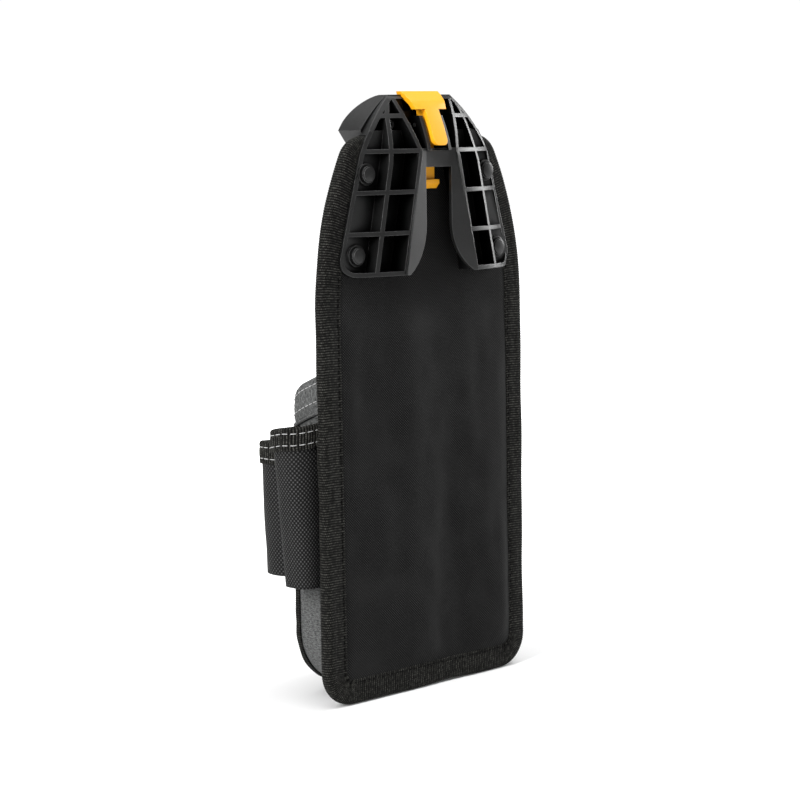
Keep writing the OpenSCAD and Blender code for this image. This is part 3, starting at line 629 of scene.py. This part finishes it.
def even_pad():
    """The pad before it swells: an evenly meshed slab a little smaller than the panel."""
    sunk = 0.95 * MM
    outline = panel_outline(3 * MM)[:-1]
    outline = outline - right_of(np.vstack([outline, outline[:1]]), closed=True)[:-1] * 2.2 * MM
    mesh = slab("padded_back", outline, FRONT_Y + sunk, REAR_Y - sunk)
    piece = add_object("padded_back", mesh, None)
    remesh = piece.modifiers.new("even", "REMESH")
    remesh.mode = "VOXEL"
    remesh.voxel_size = 3.6 * MM
    apply_modifiers(piece)
    return piece


def swelling(piece, rest, free):
    """How far each point moves as air pressure swells the pad, up to a cap on each face."""
    pinned = piece.vertex_groups.new(name="sewn")
    for i, share in enumerate(free):
        pinned.add([i], float(1 - 0.9 * share), "REPLACE")
    simulate(piece, "sewn")
    moved = np.array([v.co for v in piece.data.vertices]) - rest
    cap = np.where(rest[:, 1] > 0, 1.6 * MM, 0.35 * MM) * free
    length = np.maximum(np.linalg.norm(moved, axis=1), 1e-9)
    return moved * np.minimum(1, cap / length)[:, None]


def folds(rest):
    """Long soft upright folds of the rear cloth, with finer ones over them."""
    long_ones = 4.4 * MM * smooth_noise(rest * (1.0, 1.0, 0.36), 36 * MM, 5.0)
    return long_ones + 0.9 * MM * smooth_noise(rest * (1.0, 1.0, 0.6), 12 * MM, 2.0)


def build_padded_back():
    """The padded back: one closed form whose two faces are the rear and front cloths. The pad
    swells where nothing is riveted or sewn through it."""
    piece = even_pad()
    rest = np.array([v.co for v in piece.data.vertices])
    inset = inset_distance(rest[:, 0], rest[:, 2])
    below_clip = 1 - ramp(rest[:, 2], CLIP_FOOT - 40 * MM, CLIP_FOOT - 8 * MM)
    free = ramp(inset, 14 * MM, 24 * MM) * below_clip
    soft = rest + swelling(piece, rest, free)
    level = ramp(inset, BINDING_W - 1 * MM, BINDING_W + 2.5 * MM) * 0.72 * MM
    drape = (folds(rest) + 1.9 * MM) * free
    rear = rest[:, 1] > 0
    soft[:, 1] += np.sign(rest[:, 1]) * level + np.where(rear, drape, 0)
    # the cloth never sinks into the foam inside it
    over_foam = (REAR_Y - 0.3 * MM) * ramp(inset, BINDING_W, BINDING_W + 2 * MM)
    soft[:, 1] = np.where(rear, np.maximum(soft[:, 1], over_foam),
                          np.minimum(soft[:, 1], -over_foam))
    for vertex, place in zip(piece.data.vertices, soft):
        vertex.co = place
    smooth = piece.modifiers.new("smooth", "SUBSURF")
    smooth.levels = 1
    smooth.render_levels = 1
    apply_modifiers(piece)
    lay_cloth(piece)
    piece.data.materials.append(BACK_CLOTH)
    piece.data.materials.append(BALLISTIC)
    for face in piece.data.polygons:
        face.material_index = 0 if face.normal.y > -0.2 else 1
        face.use_smooth = True
    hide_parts("rear_fabric", "front_fabric")


def lay_cloth(piece):
    """Gives a flat piece cloth coordinates in X and Z."""
    mesh = piece.data
    layer = mesh.uv_layers.get("cloth_mm") or mesh.uv_layers.new(name="cloth_mm")
    co = np.array([v.co for v in mesh.vertices])
    corners = np.zeros(len(mesh.loops), dtype=np.int64)
    mesh.loops.foreach_get("vertex_index", corners)
    layer.data.foreach_set("uv", (co[corners][:, [0, 2]] / MM).astype(np.float32).ravel())


def simulate(piece, pins):
    """Swells a closed cloth form with air pressure and keeps the result on its mesh."""
    cloth = piece.modifiers.new("cloth", "CLOTH")
    settings = cloth.settings
    settings.quality = 5
    settings.mass = 0.3
    settings.tension_stiffness = 25
    settings.compression_stiffness = 25
    settings.shear_stiffness = 10
    settings.bending_stiffness = 3
    settings.use_pressure = True
    settings.uniform_pressure_force = 4
    settings.effector_weights.gravity = 0
    settings.vertex_group_mass = pins
    cloth.point_cache.frame_start = 1
    cloth.point_cache.frame_end = 20
    for number in range(1, cloth.point_cache.frame_end + 1):
        bpy.context.scene.frame_set(number)
    apply_modifiers(piece)
    bpy.context.scene.frame_set(1)


build_binding()
build_padded_back()


# ---- Main pocket ----------------------------------------------------------------------------

RIM_DROP = 14 * MM
POCKET_D = FRONT_Y - POCKET_FRONT_Y
RIM_SLOPE = math.atan(RIM_DROP / POCKET_D)
RIM_CORNER_R = 16 * MM
MOUTH_CORNER_R = 6.5 * MM
GUSSET_TUCK = 1 * MM


def rim_height(y):
    """Height of the gusset's rim: it slopes down to the front and turns over at the corner."""
    line = POCKET_REAR_TOP - (FRONT_Y - y) * math.tan(RIM_SLOPE)
    centre_y = POCKET_FRONT_Y + RIM_CORNER_R
    centre_z = POCKET_REAR_TOP - (FRONT_Y - centre_y) * math.tan(RIM_SLOPE)
    centre_z -= RIM_CORNER_R / math.cos(RIM_SLOPE)
    reach = np.clip(centre_y - y, 0, RIM_CORNER_R)
    turned = centre_z + np.sqrt(RIM_CORNER_R ** 2 - reach ** 2)
    past = centre_y - y > RIM_CORNER_R * math.sin(RIM_SLOPE)
    return np.where(past, turned, line)


def gusset_swell(t):
    """How far the gusset stands out between its two seams."""
    return 2.0 * MM * np.sin(np.pi * np.clip(t, 0, 1)) ** 0.8


def seam_draw(z):
    """How far the front seam is drawn inwards where the mouth band rounds the corner."""
    return MOUTH_CORNER_R * ramp(z, POCKET_FRONT_TOP - 33 * MM, POCKET_FRONT_TOP - 15 * MM)


def corner_draw(y, z):
    """How far the gusset's side is drawn inwards at a depth and height."""
    past = np.clip(POCKET_FRONT_Y + MOUTH_CORNER_R - y, 0, MOUTH_CORNER_R) / MOUTH_CORNER_R
    return seam_draw(z) * (1 - np.sqrt(1 - past ** 2))


def build_gusset():
    """The strip that runs down one side of the pocket, under it and up the other side. Half of
    it is built as rows from the rim to the middle of the floor, then mirrored."""
    depth = np.linspace(0, 1, 25)
    y = FRONT_Y - POCKET_D * depth
    corner = np.linspace(0, 1, 19)
    foot_x = POCKET_HALF_W - POCKET_CORNER_R
    foot_z = POCKET_FLOOR + POCKET_CORNER_R
    rows, along, outs = [], [], []
    quarter = POCKET_CORNER_R * math.pi / 2
    for share in np.linspace(1, 0, 46)[:-1]:
        z = foot_z + share * (rim_height(y) - foot_z)
        rows.append(np.stack([np.full_like(y, POCKET_HALF_W), y, z], 1))
        along.append(foot_x + quarter + z - foot_z)
        outs.append((1, 0))
    for share in corner:
        turn = math.radians(-90 * share)
        x, z = foot_x + POCKET_CORNER_R * math.cos(turn), foot_z + POCKET_CORNER_R * math.sin(turn)
        rows.append(np.stack([np.full_like(y, x), y, np.full_like(y, z)], 1))
        along.append(np.full_like(y, foot_x + quarter * (1 - share)))
        outs.append((math.cos(turn), math.sin(turn)))
    for x in np.linspace(foot_x, 0, 18)[1:]:
        rows.append(np.stack([np.full_like(y, x), y, np.full_like(y, POCKET_FLOOR)], 1))
        along.append(np.full_like(y, x))
        outs.append((0, -1))
    rows = np.array(rows)
    along = np.array(along)
    outs = np.array(outs, float)
    rows = np.concatenate([rows, rows[-2::-1] * (-1, 1, 1)])
    along = np.concatenate([along, -along[-2::-1]])
    outs = np.concatenate([outs, outs[-2::-1] * (-1, 1)])
    out = np.stack([outs[:, 0], np.zeros(len(outs)), outs[:, 1]], 1)[:, None]
    side = np.abs(out[..., 0])
    swell = gusset_swell(depth)[None] * (0.25 + 0.75 * side) - GUSSET_TUCK * side
    crease = smooth_noise(rows, 30 * MM, 1.5) * 0.8 * MM * np.sin(np.pi * depth)[None]
    drawn = side * corner_draw(rows[..., 1], rows[..., 2])
    outer = rows + out * (swell + crease - drawn)[..., None]
    inner = outer - out * WALL_T
    loop = np.concatenate([outer, inner[:, ::-1], outer[:, :1]], 1)
    across = np.concatenate([depth, depth[::-1], depth[:1]]) * POCKET_D
    uv = np.stack([np.broadcast_to(across, loop.shape[:2]),
                   np.concatenate([along, along[:, ::-1], along[:, :1]], 1)], -1) / MM
    piece = grid_piece("gusset", loop, uv, CANVAS)
    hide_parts("pocket_gusset")


def gusset_x(y):
    """X of the gusset's outer side at a depth."""
    share = (FRONT_Y - y) / POCKET_D
    return POCKET_HALF_W - GUSSET_TUCK + gusset_swell(share)


def hem_line(y, drop):
    """Height of a line that runs parallel to the rim's slope."""
    return POCKET_REAR_TOP - drop - (FRONT_Y - y) * math.tan(RIM_SLOPE)


def mouth_path():
    """Line round the outside of the pocket's mouth, from the panel to the panel, with the
    heights of the mouth band's foot and top at each point."""
    side_y = np.linspace(FRONT_Y - 0.3 * MM, POCKET_FRONT_Y + MOUTH_CORNER_R, 60)
    side = np.stack([gusset_x(side_y), side_y], 1)
    centre = (side[-1, 0] - MOUTH_CORNER_R, POCKET_FRONT_Y + MOUTH_CORNER_R - WALL_T)
    corner = arc(centre, MOUTH_CORNER_R, 0, -90, 20)
    c = np.linspace(1, 0, 60)[1:]
    front = np.stack([c * centre[0], corner[-1, 1] - 0.9 * MM * (1 - c ** 2)], 1)
    half = evenly_spaced(np.vstack([side, corner, front]), 0.8 * MM)
    plan = np.vstack([half, half[-2::-1] * (-1, 1)])
    y = np.maximum(plan[:, 1], POCKET_FRONT_Y)
    foot = hem_line(y, HEM_H)
    top = np.maximum(rim_height(y), POCKET_FRONT_TOP + 0.5 * MM)
    return plan, foot, top


def build_mouth_band():
    """The folded band that finishes the pocket's mouth, with its two stitch rows and piping."""
    plan, foot, top = mouth_path()
    out = right_of(plan)
    if ((plan - plan.mean(0)) * out).sum() < 0:
        out = -out
    # the band's section as rows of (distance out, height): its face, its fold, then its inside
    rows, heights = [], []
    fold_r = 1.5 * MM
    fold_z = top - 1.4 * MM
    for share in np.linspace(0, 1, 16):
        puff = 0.7 * MM + 0.7 * MM * math.sin(math.pi * min(1, share * 1.05))
        rows.append((puff, foot + share * (fold_z - foot)))
        heights.append(share * (top - foot))
    for turn in np.radians(np.linspace(20, 180, 8)):
        rows.append((-0.5 * MM + fold_r * math.cos(turn), fold_z + fold_r * math.sin(turn)))
        heights.append(top - foot + fold_r * turn)
    rows.append((-1.9 * MM, top - 8 * MM))
    rows.append((-1.3 * MM, top - 8.5 * MM))
    rows.append((-0.2 * MM, foot + 0.4 * MM))
    heights += [top - foot + 12 * MM, top - foot + 12.5 * MM, heights[0]]
    rows.append(rows[0])
    heights.append(heights[0])
    grid = np.stack([np.concatenate([plan + out * push, z[:, None]], 1) for push, z in rows], 1)
    around = distances(plan)
    crease = smooth_noise(grid, 13 * MM, 4.0)[..., None] * 0.4 * MM
    grid[..., :2] += out[:, None] * crease
    uv = np.stack([np.array(heights).T, np.broadcast_to(around[:, None], grid.shape[:2])], -1) / MM
    band = grid_piece("mouth_band", grid, uv, CANVAS, caps=True)
    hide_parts("gusset_hems", "pocket_front_trim")
    flat_out = np.concatenate([out, np.full((len(out), 1), 0.15)], 1)
    for number, share in enumerate((0.3, 0.8)):
        line = np.concatenate([plan + out * 1.32 * MM, (foot + share * (top - foot))[:, None]], 1)
        made = stitches(f"mouth_stitches_{number}", line, flat_out, LIGHT_THREAD,
                        length=2.9 * MM, gap=0.9 * MM)
    centre = np.concatenate([plan + out * 0.75 * MM, (foot - 0.7 * MM)[:, None]], 1)
    turn = np.radians(np.linspace(0, 360, 13))
    section = 1.1 * MM * np.stack([np.cos(turn), np.sin(turn)], 1)
    across = np.concatenate([out, np.zeros((len(out), 1))], 1)
    up = unit(np.cross(np.gradient(centre, axis=0), across))
    piping = sweep("mouth_piping", centre, across, up, section, CANVAS, caps=True)
    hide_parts("hem_piping")


def pocket_half_width(z):
    """Half width of the pocket's front wall at a height: round at the two lower corners."""
    rise = np.clip(POCKET_FLOOR + POCKET_CORNER_R - z, 0, POCKET_CORNER_R)
    return POCKET_HALF_W - POCKET_CORNER_R + np.sqrt(POCKET_CORNER_R ** 2 - rise ** 2)


def front_swell(c, z):
    """How far the front wall bellies out at a share of its width and a height."""
    height = np.clip((z - POCKET_FLOOR) / (POCKET_FRONT_TOP - POCKET_FLOOR), 0, 1)
    return 2.2 * MM * (1 - c ** 4) * np.sin(np.pi * height ** 0.8) ** 0.7


def build_front_wall():
    heights = POCKET_FLOOR + (POCKET_FRONT_TOP - POCKET_FLOOR) * np.linspace(0, 1, 70) ** 1.3
    shares = np.linspace(-1, 1, 61)
    c, z = np.meshgrid(shares, heights)
    x = c * (pocket_half_width(z) - seam_draw(z))
    rest = np.stack([x, np.zeros_like(x), z], -1)
    belly = front_swell(c, z) + smooth_noise(rest, 34 * MM, 8.0) * 0.7 * MM * (1 - c ** 4)
    outer = np.stack([x, WALL_FRONT_Y + 0.5 * MM - belly, z], -1)
    inner = outer + (0, WALL_T - 0.2 * MM, 0)
    grid = np.concatenate([outer, inner[:, ::-1], outer[:, :1]], 1)
    uv = grid[..., [0, 2]] / MM
    piece = grid_piece("front_wall", grid, uv, CANVAS)
    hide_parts("pocket_front")


def build_seam_tape():
    """Tape folded round the seam between the gusset and the front wall."""
    foot = (POCKET_HALF_W - POCKET_CORNER_R, POCKET_FLOOR + POCKET_CORNER_R)
    half = np.vstack([[[0, POCKET_FLOOR]], arc(foot, POCKET_CORNER_R, -90, 0),
                      [[POCKET_HALF_W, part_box("seam_binding")[1].z]]])
    flat = evenly_spaced(np.vstack([(half * (-1, 1))[:0:-1], half]), 0.45 * MM)
    flat[:, 0] -= np.sign(flat[:, 0]) * seam_draw(flat[:, 1])
    path = in_panel_plane(flat, WALL_FRONT_Y)
    across = in_panel_plane(right_of(flat))
    across[:, 1] = 0
    up = np.tile([0.0, -1.0, 0.0], (len(path), 1))
    corner = arc((-0.7 * MM, -0.7 * MM), 1.7 * MM, 0, 90, 6)
    leg_end = -WALL_T - SEAM_SIDE_W
    outer = np.vstack([[[0.75 * MM, leg_end]], corner, [[-SEAM_TAPE_W, 0.9 * MM]]])
    outer = evenly_spaced(outer, 0.7 * MM)
    inner = np.array([[-SEAM_TAPE_W, 0.1 * MM], [-0.8 * MM, -0.8 * MM], [-0.2 * MM, leg_end]])
    profile = np.vstack([outer, inner, outer[:1]])
    relief = tape_ribs(path, profile, 1.3 * MM, 0.1 * MM)
    relief = relief + smooth_noise(path, 9 * MM, 2.0)[:, None] * 0.5 * MM
    piece = sweep("seam_tape", path, across, up, profile, BINDING_TAPE, relief, caps=True)
    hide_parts("seam_binding")


build_gusset()
build_mouth_band()
build_front_wall()
build_seam_tape()


# ---- Open-topped sleeves and their trims ------------------------------------------------------

def plan_normals(plan):
    """Outward unit normals of a pocket's plan, which runs from one attached end to the other."""
    out = right_of(plan)
    middle = (plan[0] + plan[-1]) / 2
    if ((plan - middle) * out).sum() < 0:
        out = -out
    return out


def ring_at(plan_of, z, push):
    """A pocket's plan at a height, moved outwards by push, as 3D points."""
    plan = plan_of(z)
    moved = plan + plan_normals(plan) * push
    return np.concatenate([moved, np.full((len(moved), 1), z)], 1)


def build_sleeve(name, node, plan_of, low, high, tilt):
    """A sleeve or patch pocket: a soft wall that follows a plan curve at each height. tilt is
    the rise of the mouth at each share of the way round."""
    heights = np.linspace(low, high - TRIM_T, 56)
    outer, inner = [], []
    for z in heights:
        share = (z - low) / (high - low)
        ring = ring_at(plan_of, z, 0)
        soft = smooth_noise(ring * (1, 1, 0.7), 17 * MM, 6.0) * 0.9 * MM
        soft = soft * math.sin(math.pi * min(1, share * 1.2 + 0.05))
        out = np.concatenate([plan_normals(ring[:, :2]), np.zeros((len(ring), 1))], 1)
        ends = np.sin(np.pi * np.linspace(0, 1, len(ring))) ** 0.4
        ring = ring + out * (soft * ends)[:, None]
        ring[:, 2] += tilt(np.linspace(0, 1, len(ring))) * share ** 2
        outer.append(ring)
        inner.append(ring - out * WALL_T)
    outer, inner = np.array(outer), np.array(inner)
    around = distances(plan_of(high))
    grid = np.concatenate([outer, inner[::-1], outer[:1]], 0)
    v = np.concatenate([heights, heights[::-1], heights[:1]])
    uv = np.stack([np.broadcast_to(around, grid.shape[:2]),
                   np.broadcast_to(v[:, None], grid.shape[:2])], -1) / MM
    piece = grid_piece(name, grid, uv, BALLISTIC)
    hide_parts(node)


def build_trim(name, node, plan_of, high, tilt, height=TRIM_H, rows=(2.5 * MM, 9.3 * MM)):
    """Webbing folded over a sleeve's mouth, with rows of light stitches."""
    plan = evenly_spaced(plan_of(high), 0.4 * MM)
    out = np.concatenate([plan_normals(plan), np.zeros((len(plan), 1))], 1)
    share = np.linspace(0, 1, len(plan))
    path = np.concatenate([plan, (high + tilt(share))[:, None]], 1)
    up = np.tile([0.0, 0.0, 1.0], (len(path), 1))
    outer = np.vstack([
        [[0.7 * MM, -height]], [[1.05 * MM, -height + 0.6 * MM]], [[1.15 * MM, -height * 0.5]],
        [[1.05 * MM, -1.6 * MM]],
        arc((-WALL_T / 2, -0.6 * MM), WALL_T / 2 + 1.0 * MM, 10, 170, 8),
        [[-WALL_T - 1.0 * MM, -height * 0.8]],
    ])
    outer = evenly_spaced(outer, 0.8 * MM)
    inner = np.array([[-WALL_T, -height * 0.8], [-WALL_T * 0.5, -1.0 * MM], [0, -height]])
    profile = np.vstack([outer, inner, outer[:1]])
    relief = tape_ribs(path, profile, WEBBING_PITCH, 0.2 * MM)
    for row in rows:
        sunk = np.exp(-((profile[:, 1] + row) / (0.7 * MM)) ** 2) * (profile[:, 0] > 0)
        relief = relief - 0.22 * MM * sunk[None]
    relief = relief + smooth_noise(path, 13 * MM, 9.0)[:, None] * 0.3 * MM
    piece = sweep(name, path, out, up, profile, WEBBING, relief, caps=True)
    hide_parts(node)
    for number, row in enumerate(rows):
        line = path + out * 1.1 * MM - up * row
        made = stitches(f"{name}_stitches_{number}", line, out, LIGHT_THREAD)


def level(share):
    """The tilt of a mouth that has none."""
    return 0 * share


def squared(wave, power):
    """A sine or cosine flattened so that an ellipse turns towards a box. A lower power is
    squarer."""
    return np.sign(wave) * np.abs(wave) ** power


SIDE_LOW, SIDE_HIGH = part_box("side_sleeve")
CORNER_LOW, CORNER_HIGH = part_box("corner_sleeve")


def side_sleeve_plan(z):
    """Plan of the side sleeve: a rounded box that narrows towards the foot."""
    share = 0.72 + 0.28 * (z - SIDE_LOW.z) / (SIDE_HIGH.z - SIDE_LOW.z)
    out = (SIDE_HIGH.x - POCKET_HALF_W - 0.5 * MM) * share
    half_d = (SIDE_HIGH.y - SIDE_LOW.y) / 2 * (0.5 + share / 2)
    turn = np.radians(np.linspace(-90, 90, 61))
    x = POCKET_HALF_W + 0.5 * MM + out * squared(np.cos(turn).clip(0), 0.62)
    y = (SIDE_HIGH.y + SIDE_LOW.y) / 2 + half_d * squared(np.sin(turn), 0.62)
    return np.stack([x, y], 1)


def corner_sleeve_plan(z):
    """Plan of the corner sleeve: most of a circle, closed off by the pocket's front wall."""
    centre_x = (CORNER_LOW.x + CORNER_HIGH.x) / 2
    full = (CORNER_HIGH.x - CORNER_LOW.x) / 2
    centre_y = CORNER_LOW.y + full
    radius = full * (0.9 + 0.1 * (z - CORNER_LOW.z) / (CORNER_HIGH.z - CORNER_LOW.z))
    gap = min(radius * 0.95, CORNER_HIGH.y - centre_y)
    edge = math.degrees(math.asin(gap / radius))
    return arc((centre_x, centre_y), radius, 180 - edge, 360 + edge, 72)


def side_tilt(share):
    """The side sleeve's mouth lies low along the front and rises towards the panel."""
    return 3.0 * MM * ramp(share, 0.3, 0.6) - 3.0 * MM + 1.8 * MM * ramp(share, 0.6, 1.0)


def corner_tilt(share):
    """The corner sleeve's mouth is highest beside the panel."""
    return 2.6 * MM * ramp(share, 0.45, 0.85) - 2.6 * MM


def sewn_sleeve(node, plan_of, tilt=level, **trim):
    """A sleeve or patch pocket that stands for a node, and its trim for the node's own trim."""
    low, high = (corner.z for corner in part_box(node))
    build_sleeve(f"{node}_cloth", node, plan_of, low, high, tilt)
    build_trim(f"{node}_webbing", f"{node}_trim", plan_of, high, tilt, **trim)


sewn_sleeve("side_sleeve", side_sleeve_plan, side_tilt)
sewn_sleeve("corner_sleeve", corner_sleeve_plan, corner_tilt)


# ---- Front of the pocket ----------------------------------------------------------------------

OUTER_LOW, OUTER_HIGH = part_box("outer_pocket")
PEN_LOW, PEN_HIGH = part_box("pen_sleeve")


def outer_pocket_plan(z):
    """Plan of the outer pocket: a flat front with round sides, closing in at the bottom."""
    rise = np.clip((z - OUTER_LOW.z) / (16 * MM), 0, 1)
    closing = math.sqrt(1 - (1 - rise) ** 2)
    half_w = (OUTER_HIGH.x - OUTER_LOW.x) / 2 - 5 * MM * (1 - closing)
    depth = (OUTER_HIGH.y - OUTER_LOW.y) * (0.12 + 0.88 * closing)
    turn = np.radians(np.linspace(180, 360, 81))
    x = (OUTER_HIGH.x + OUTER_LOW.x) / 2 + half_w * squared(np.cos(turn), 0.3)
    y = OUTER_HIGH.y + depth * squared(np.sin(turn), 0.45)
    return np.stack([x, y], 1)


def pen_sleeve_plan(z):
    """Plan of the pen sleeve, the same at every height: most of a circle."""
    centre_x = (PEN_LOW.x + PEN_HIGH.x) / 2
    radius = (PEN_HIGH.x - PEN_LOW.x) / 2
    gap = PEN_HIGH.y - (PEN_LOW.y + radius)
    edge = math.degrees(math.asin(gap / radius))
    return arc((centre_x, PEN_LOW.y + radius), radius, 180 - edge, 360 + edge, 40)


sewn_sleeve("outer_pocket", outer_pocket_plan)
sewn_sleeve("pen_sleeve", pen_sleeve_plan, height=9 * MM, rows=(1.8 * MM, 6.6 * MM))


# ---- Floor, light and camera --------------------------------------------------------------------

# Degrees round from the rear, up and rolled; lens in mm on a 36 mm sensor; metres
CAMERA_TURN = (43.98, 6.79, -0.98)
CAMERA_LENS = 103.1
CAMERA_DISTANCE = 1.3752
CAMERA_AIM = (0.01187, REAR_Y - 0.01146, 0.1752)


def build_stage():
    mesh = bpy.data.meshes.new("floor")
    half = 6.0
    # just below the object, so that it clears the binding's relief
    low = CAD_BOUNDS[0][2] - 0.4 * MM
    mesh.from_pydata([(-half, -half, low), (half, -half, low), (half, half, low), (-half, half, low)],
                     [], [(0, 1, 2, 3)])
    floor = bpy.data.objects.new("floor", mesh)
    bpy.context.scene.collection.objects.link(floor)
    recipe = Recipe("floor_paper")
    seen = recipe.node("ShaderNodeLightPath").outputs["Is Camera Ray"]
    place = recipe.node("ShaderNodeTexCoord").outputs["Object"]
    reach = recipe.tree.nodes.new("ShaderNodeVectorMath")
    reach.operation = "LENGTH"
    recipe.tree.links.new(place, reach.inputs[0])
    # the paper brightens with distance, so that it fades into a white background
    glow = recipe.math("ADD", 0.06, recipe.stretch(reach.outputs["Value"], 0.16, 1.1))
    recipe.set(Base_Color=rgb(0.8), Roughness=0.9, Specular_IOR_Level=0.1, Emission_Color=rgb(1.0),
               Emission_Strength=recipe.math("MULTIPLY", seen, glow))
    mesh.materials.append(recipe.material)


def soft_box(name, place, target, size, power):
    data = bpy.data.lights.new(name, "AREA")
    data.shape = "RECTANGLE"
    data.size, data.size_y = size
    data.energy = power
    lamp = bpy.data.objects.new(name, data)
    bpy.context.scene.collection.objects.link(lamp)
    lamp.location = place
    lamp.rotation_euler = (Vector(target) - Vector(place)).to_track_quat("-Z", "Y").to_euler()


def build_light():
    world = bpy.data.worlds.new("studio")
    bpy.context.scene.world = world
    world.use_nodes = True
    nodes, links = world.node_tree.nodes, world.node_tree.links
    seen = nodes.new("ShaderNodeLightPath").outputs["Is Camera Ray"]
    strength = nodes.new("ShaderNodeMix")
    strength.inputs[2].default_value = 0.24
    strength.inputs[3].default_value = 1.02
    links.new(seen, strength.inputs[0])
    nodes["Background"].inputs["Color"].default_value = (1, 1, 1, 1)
    links.new(strength.outputs[0], nodes["Background"].inputs["Strength"])
    middle = (0, 0, 0.2)
    soft_box("key", (1.6, 0.28, 0.9), middle, (0.4, 0.9), 30)
    soft_box("rake", (-1.5, 0.3, 0.7), middle, (0.3, 0.9), 16)
    soft_box("top", (0.1, 0.1, 2.4), middle, (3.0, 3.0), 75)


def build_camera():
    azimuth, elevation, roll = (math.radians(a) for a in CAMERA_TURN)
    back = Vector((math.sin(azimuth) * math.cos(elevation),
                   math.cos(azimuth) * math.cos(elevation), math.sin(elevation)))
    level_right = Vector((-math.cos(azimuth), math.sin(azimuth), 0))
    right = Matrix.Rotation(roll, 3, back) @ level_right
    up = back.cross(right)
    data = bpy.data.cameras.new("camera")
    data.sensor_width = 36
    data.lens = CAMERA_LENS
    data.clip_start = 0.05
    camera = bpy.data.objects.new("camera", data)
    bpy.context.scene.collection.objects.link(camera)
    turn = Matrix((right, up, back)).transposed().to_4x4()
    camera.matrix_world = Matrix.Translation(Vector(CAMERA_AIM) + back * CAMERA_DISTANCE) @ turn
    bpy.context.scene.camera = camera


build_stage()
build_light()
build_camera()
bpy.context.scene.view_settings.view_transform = "Standard"
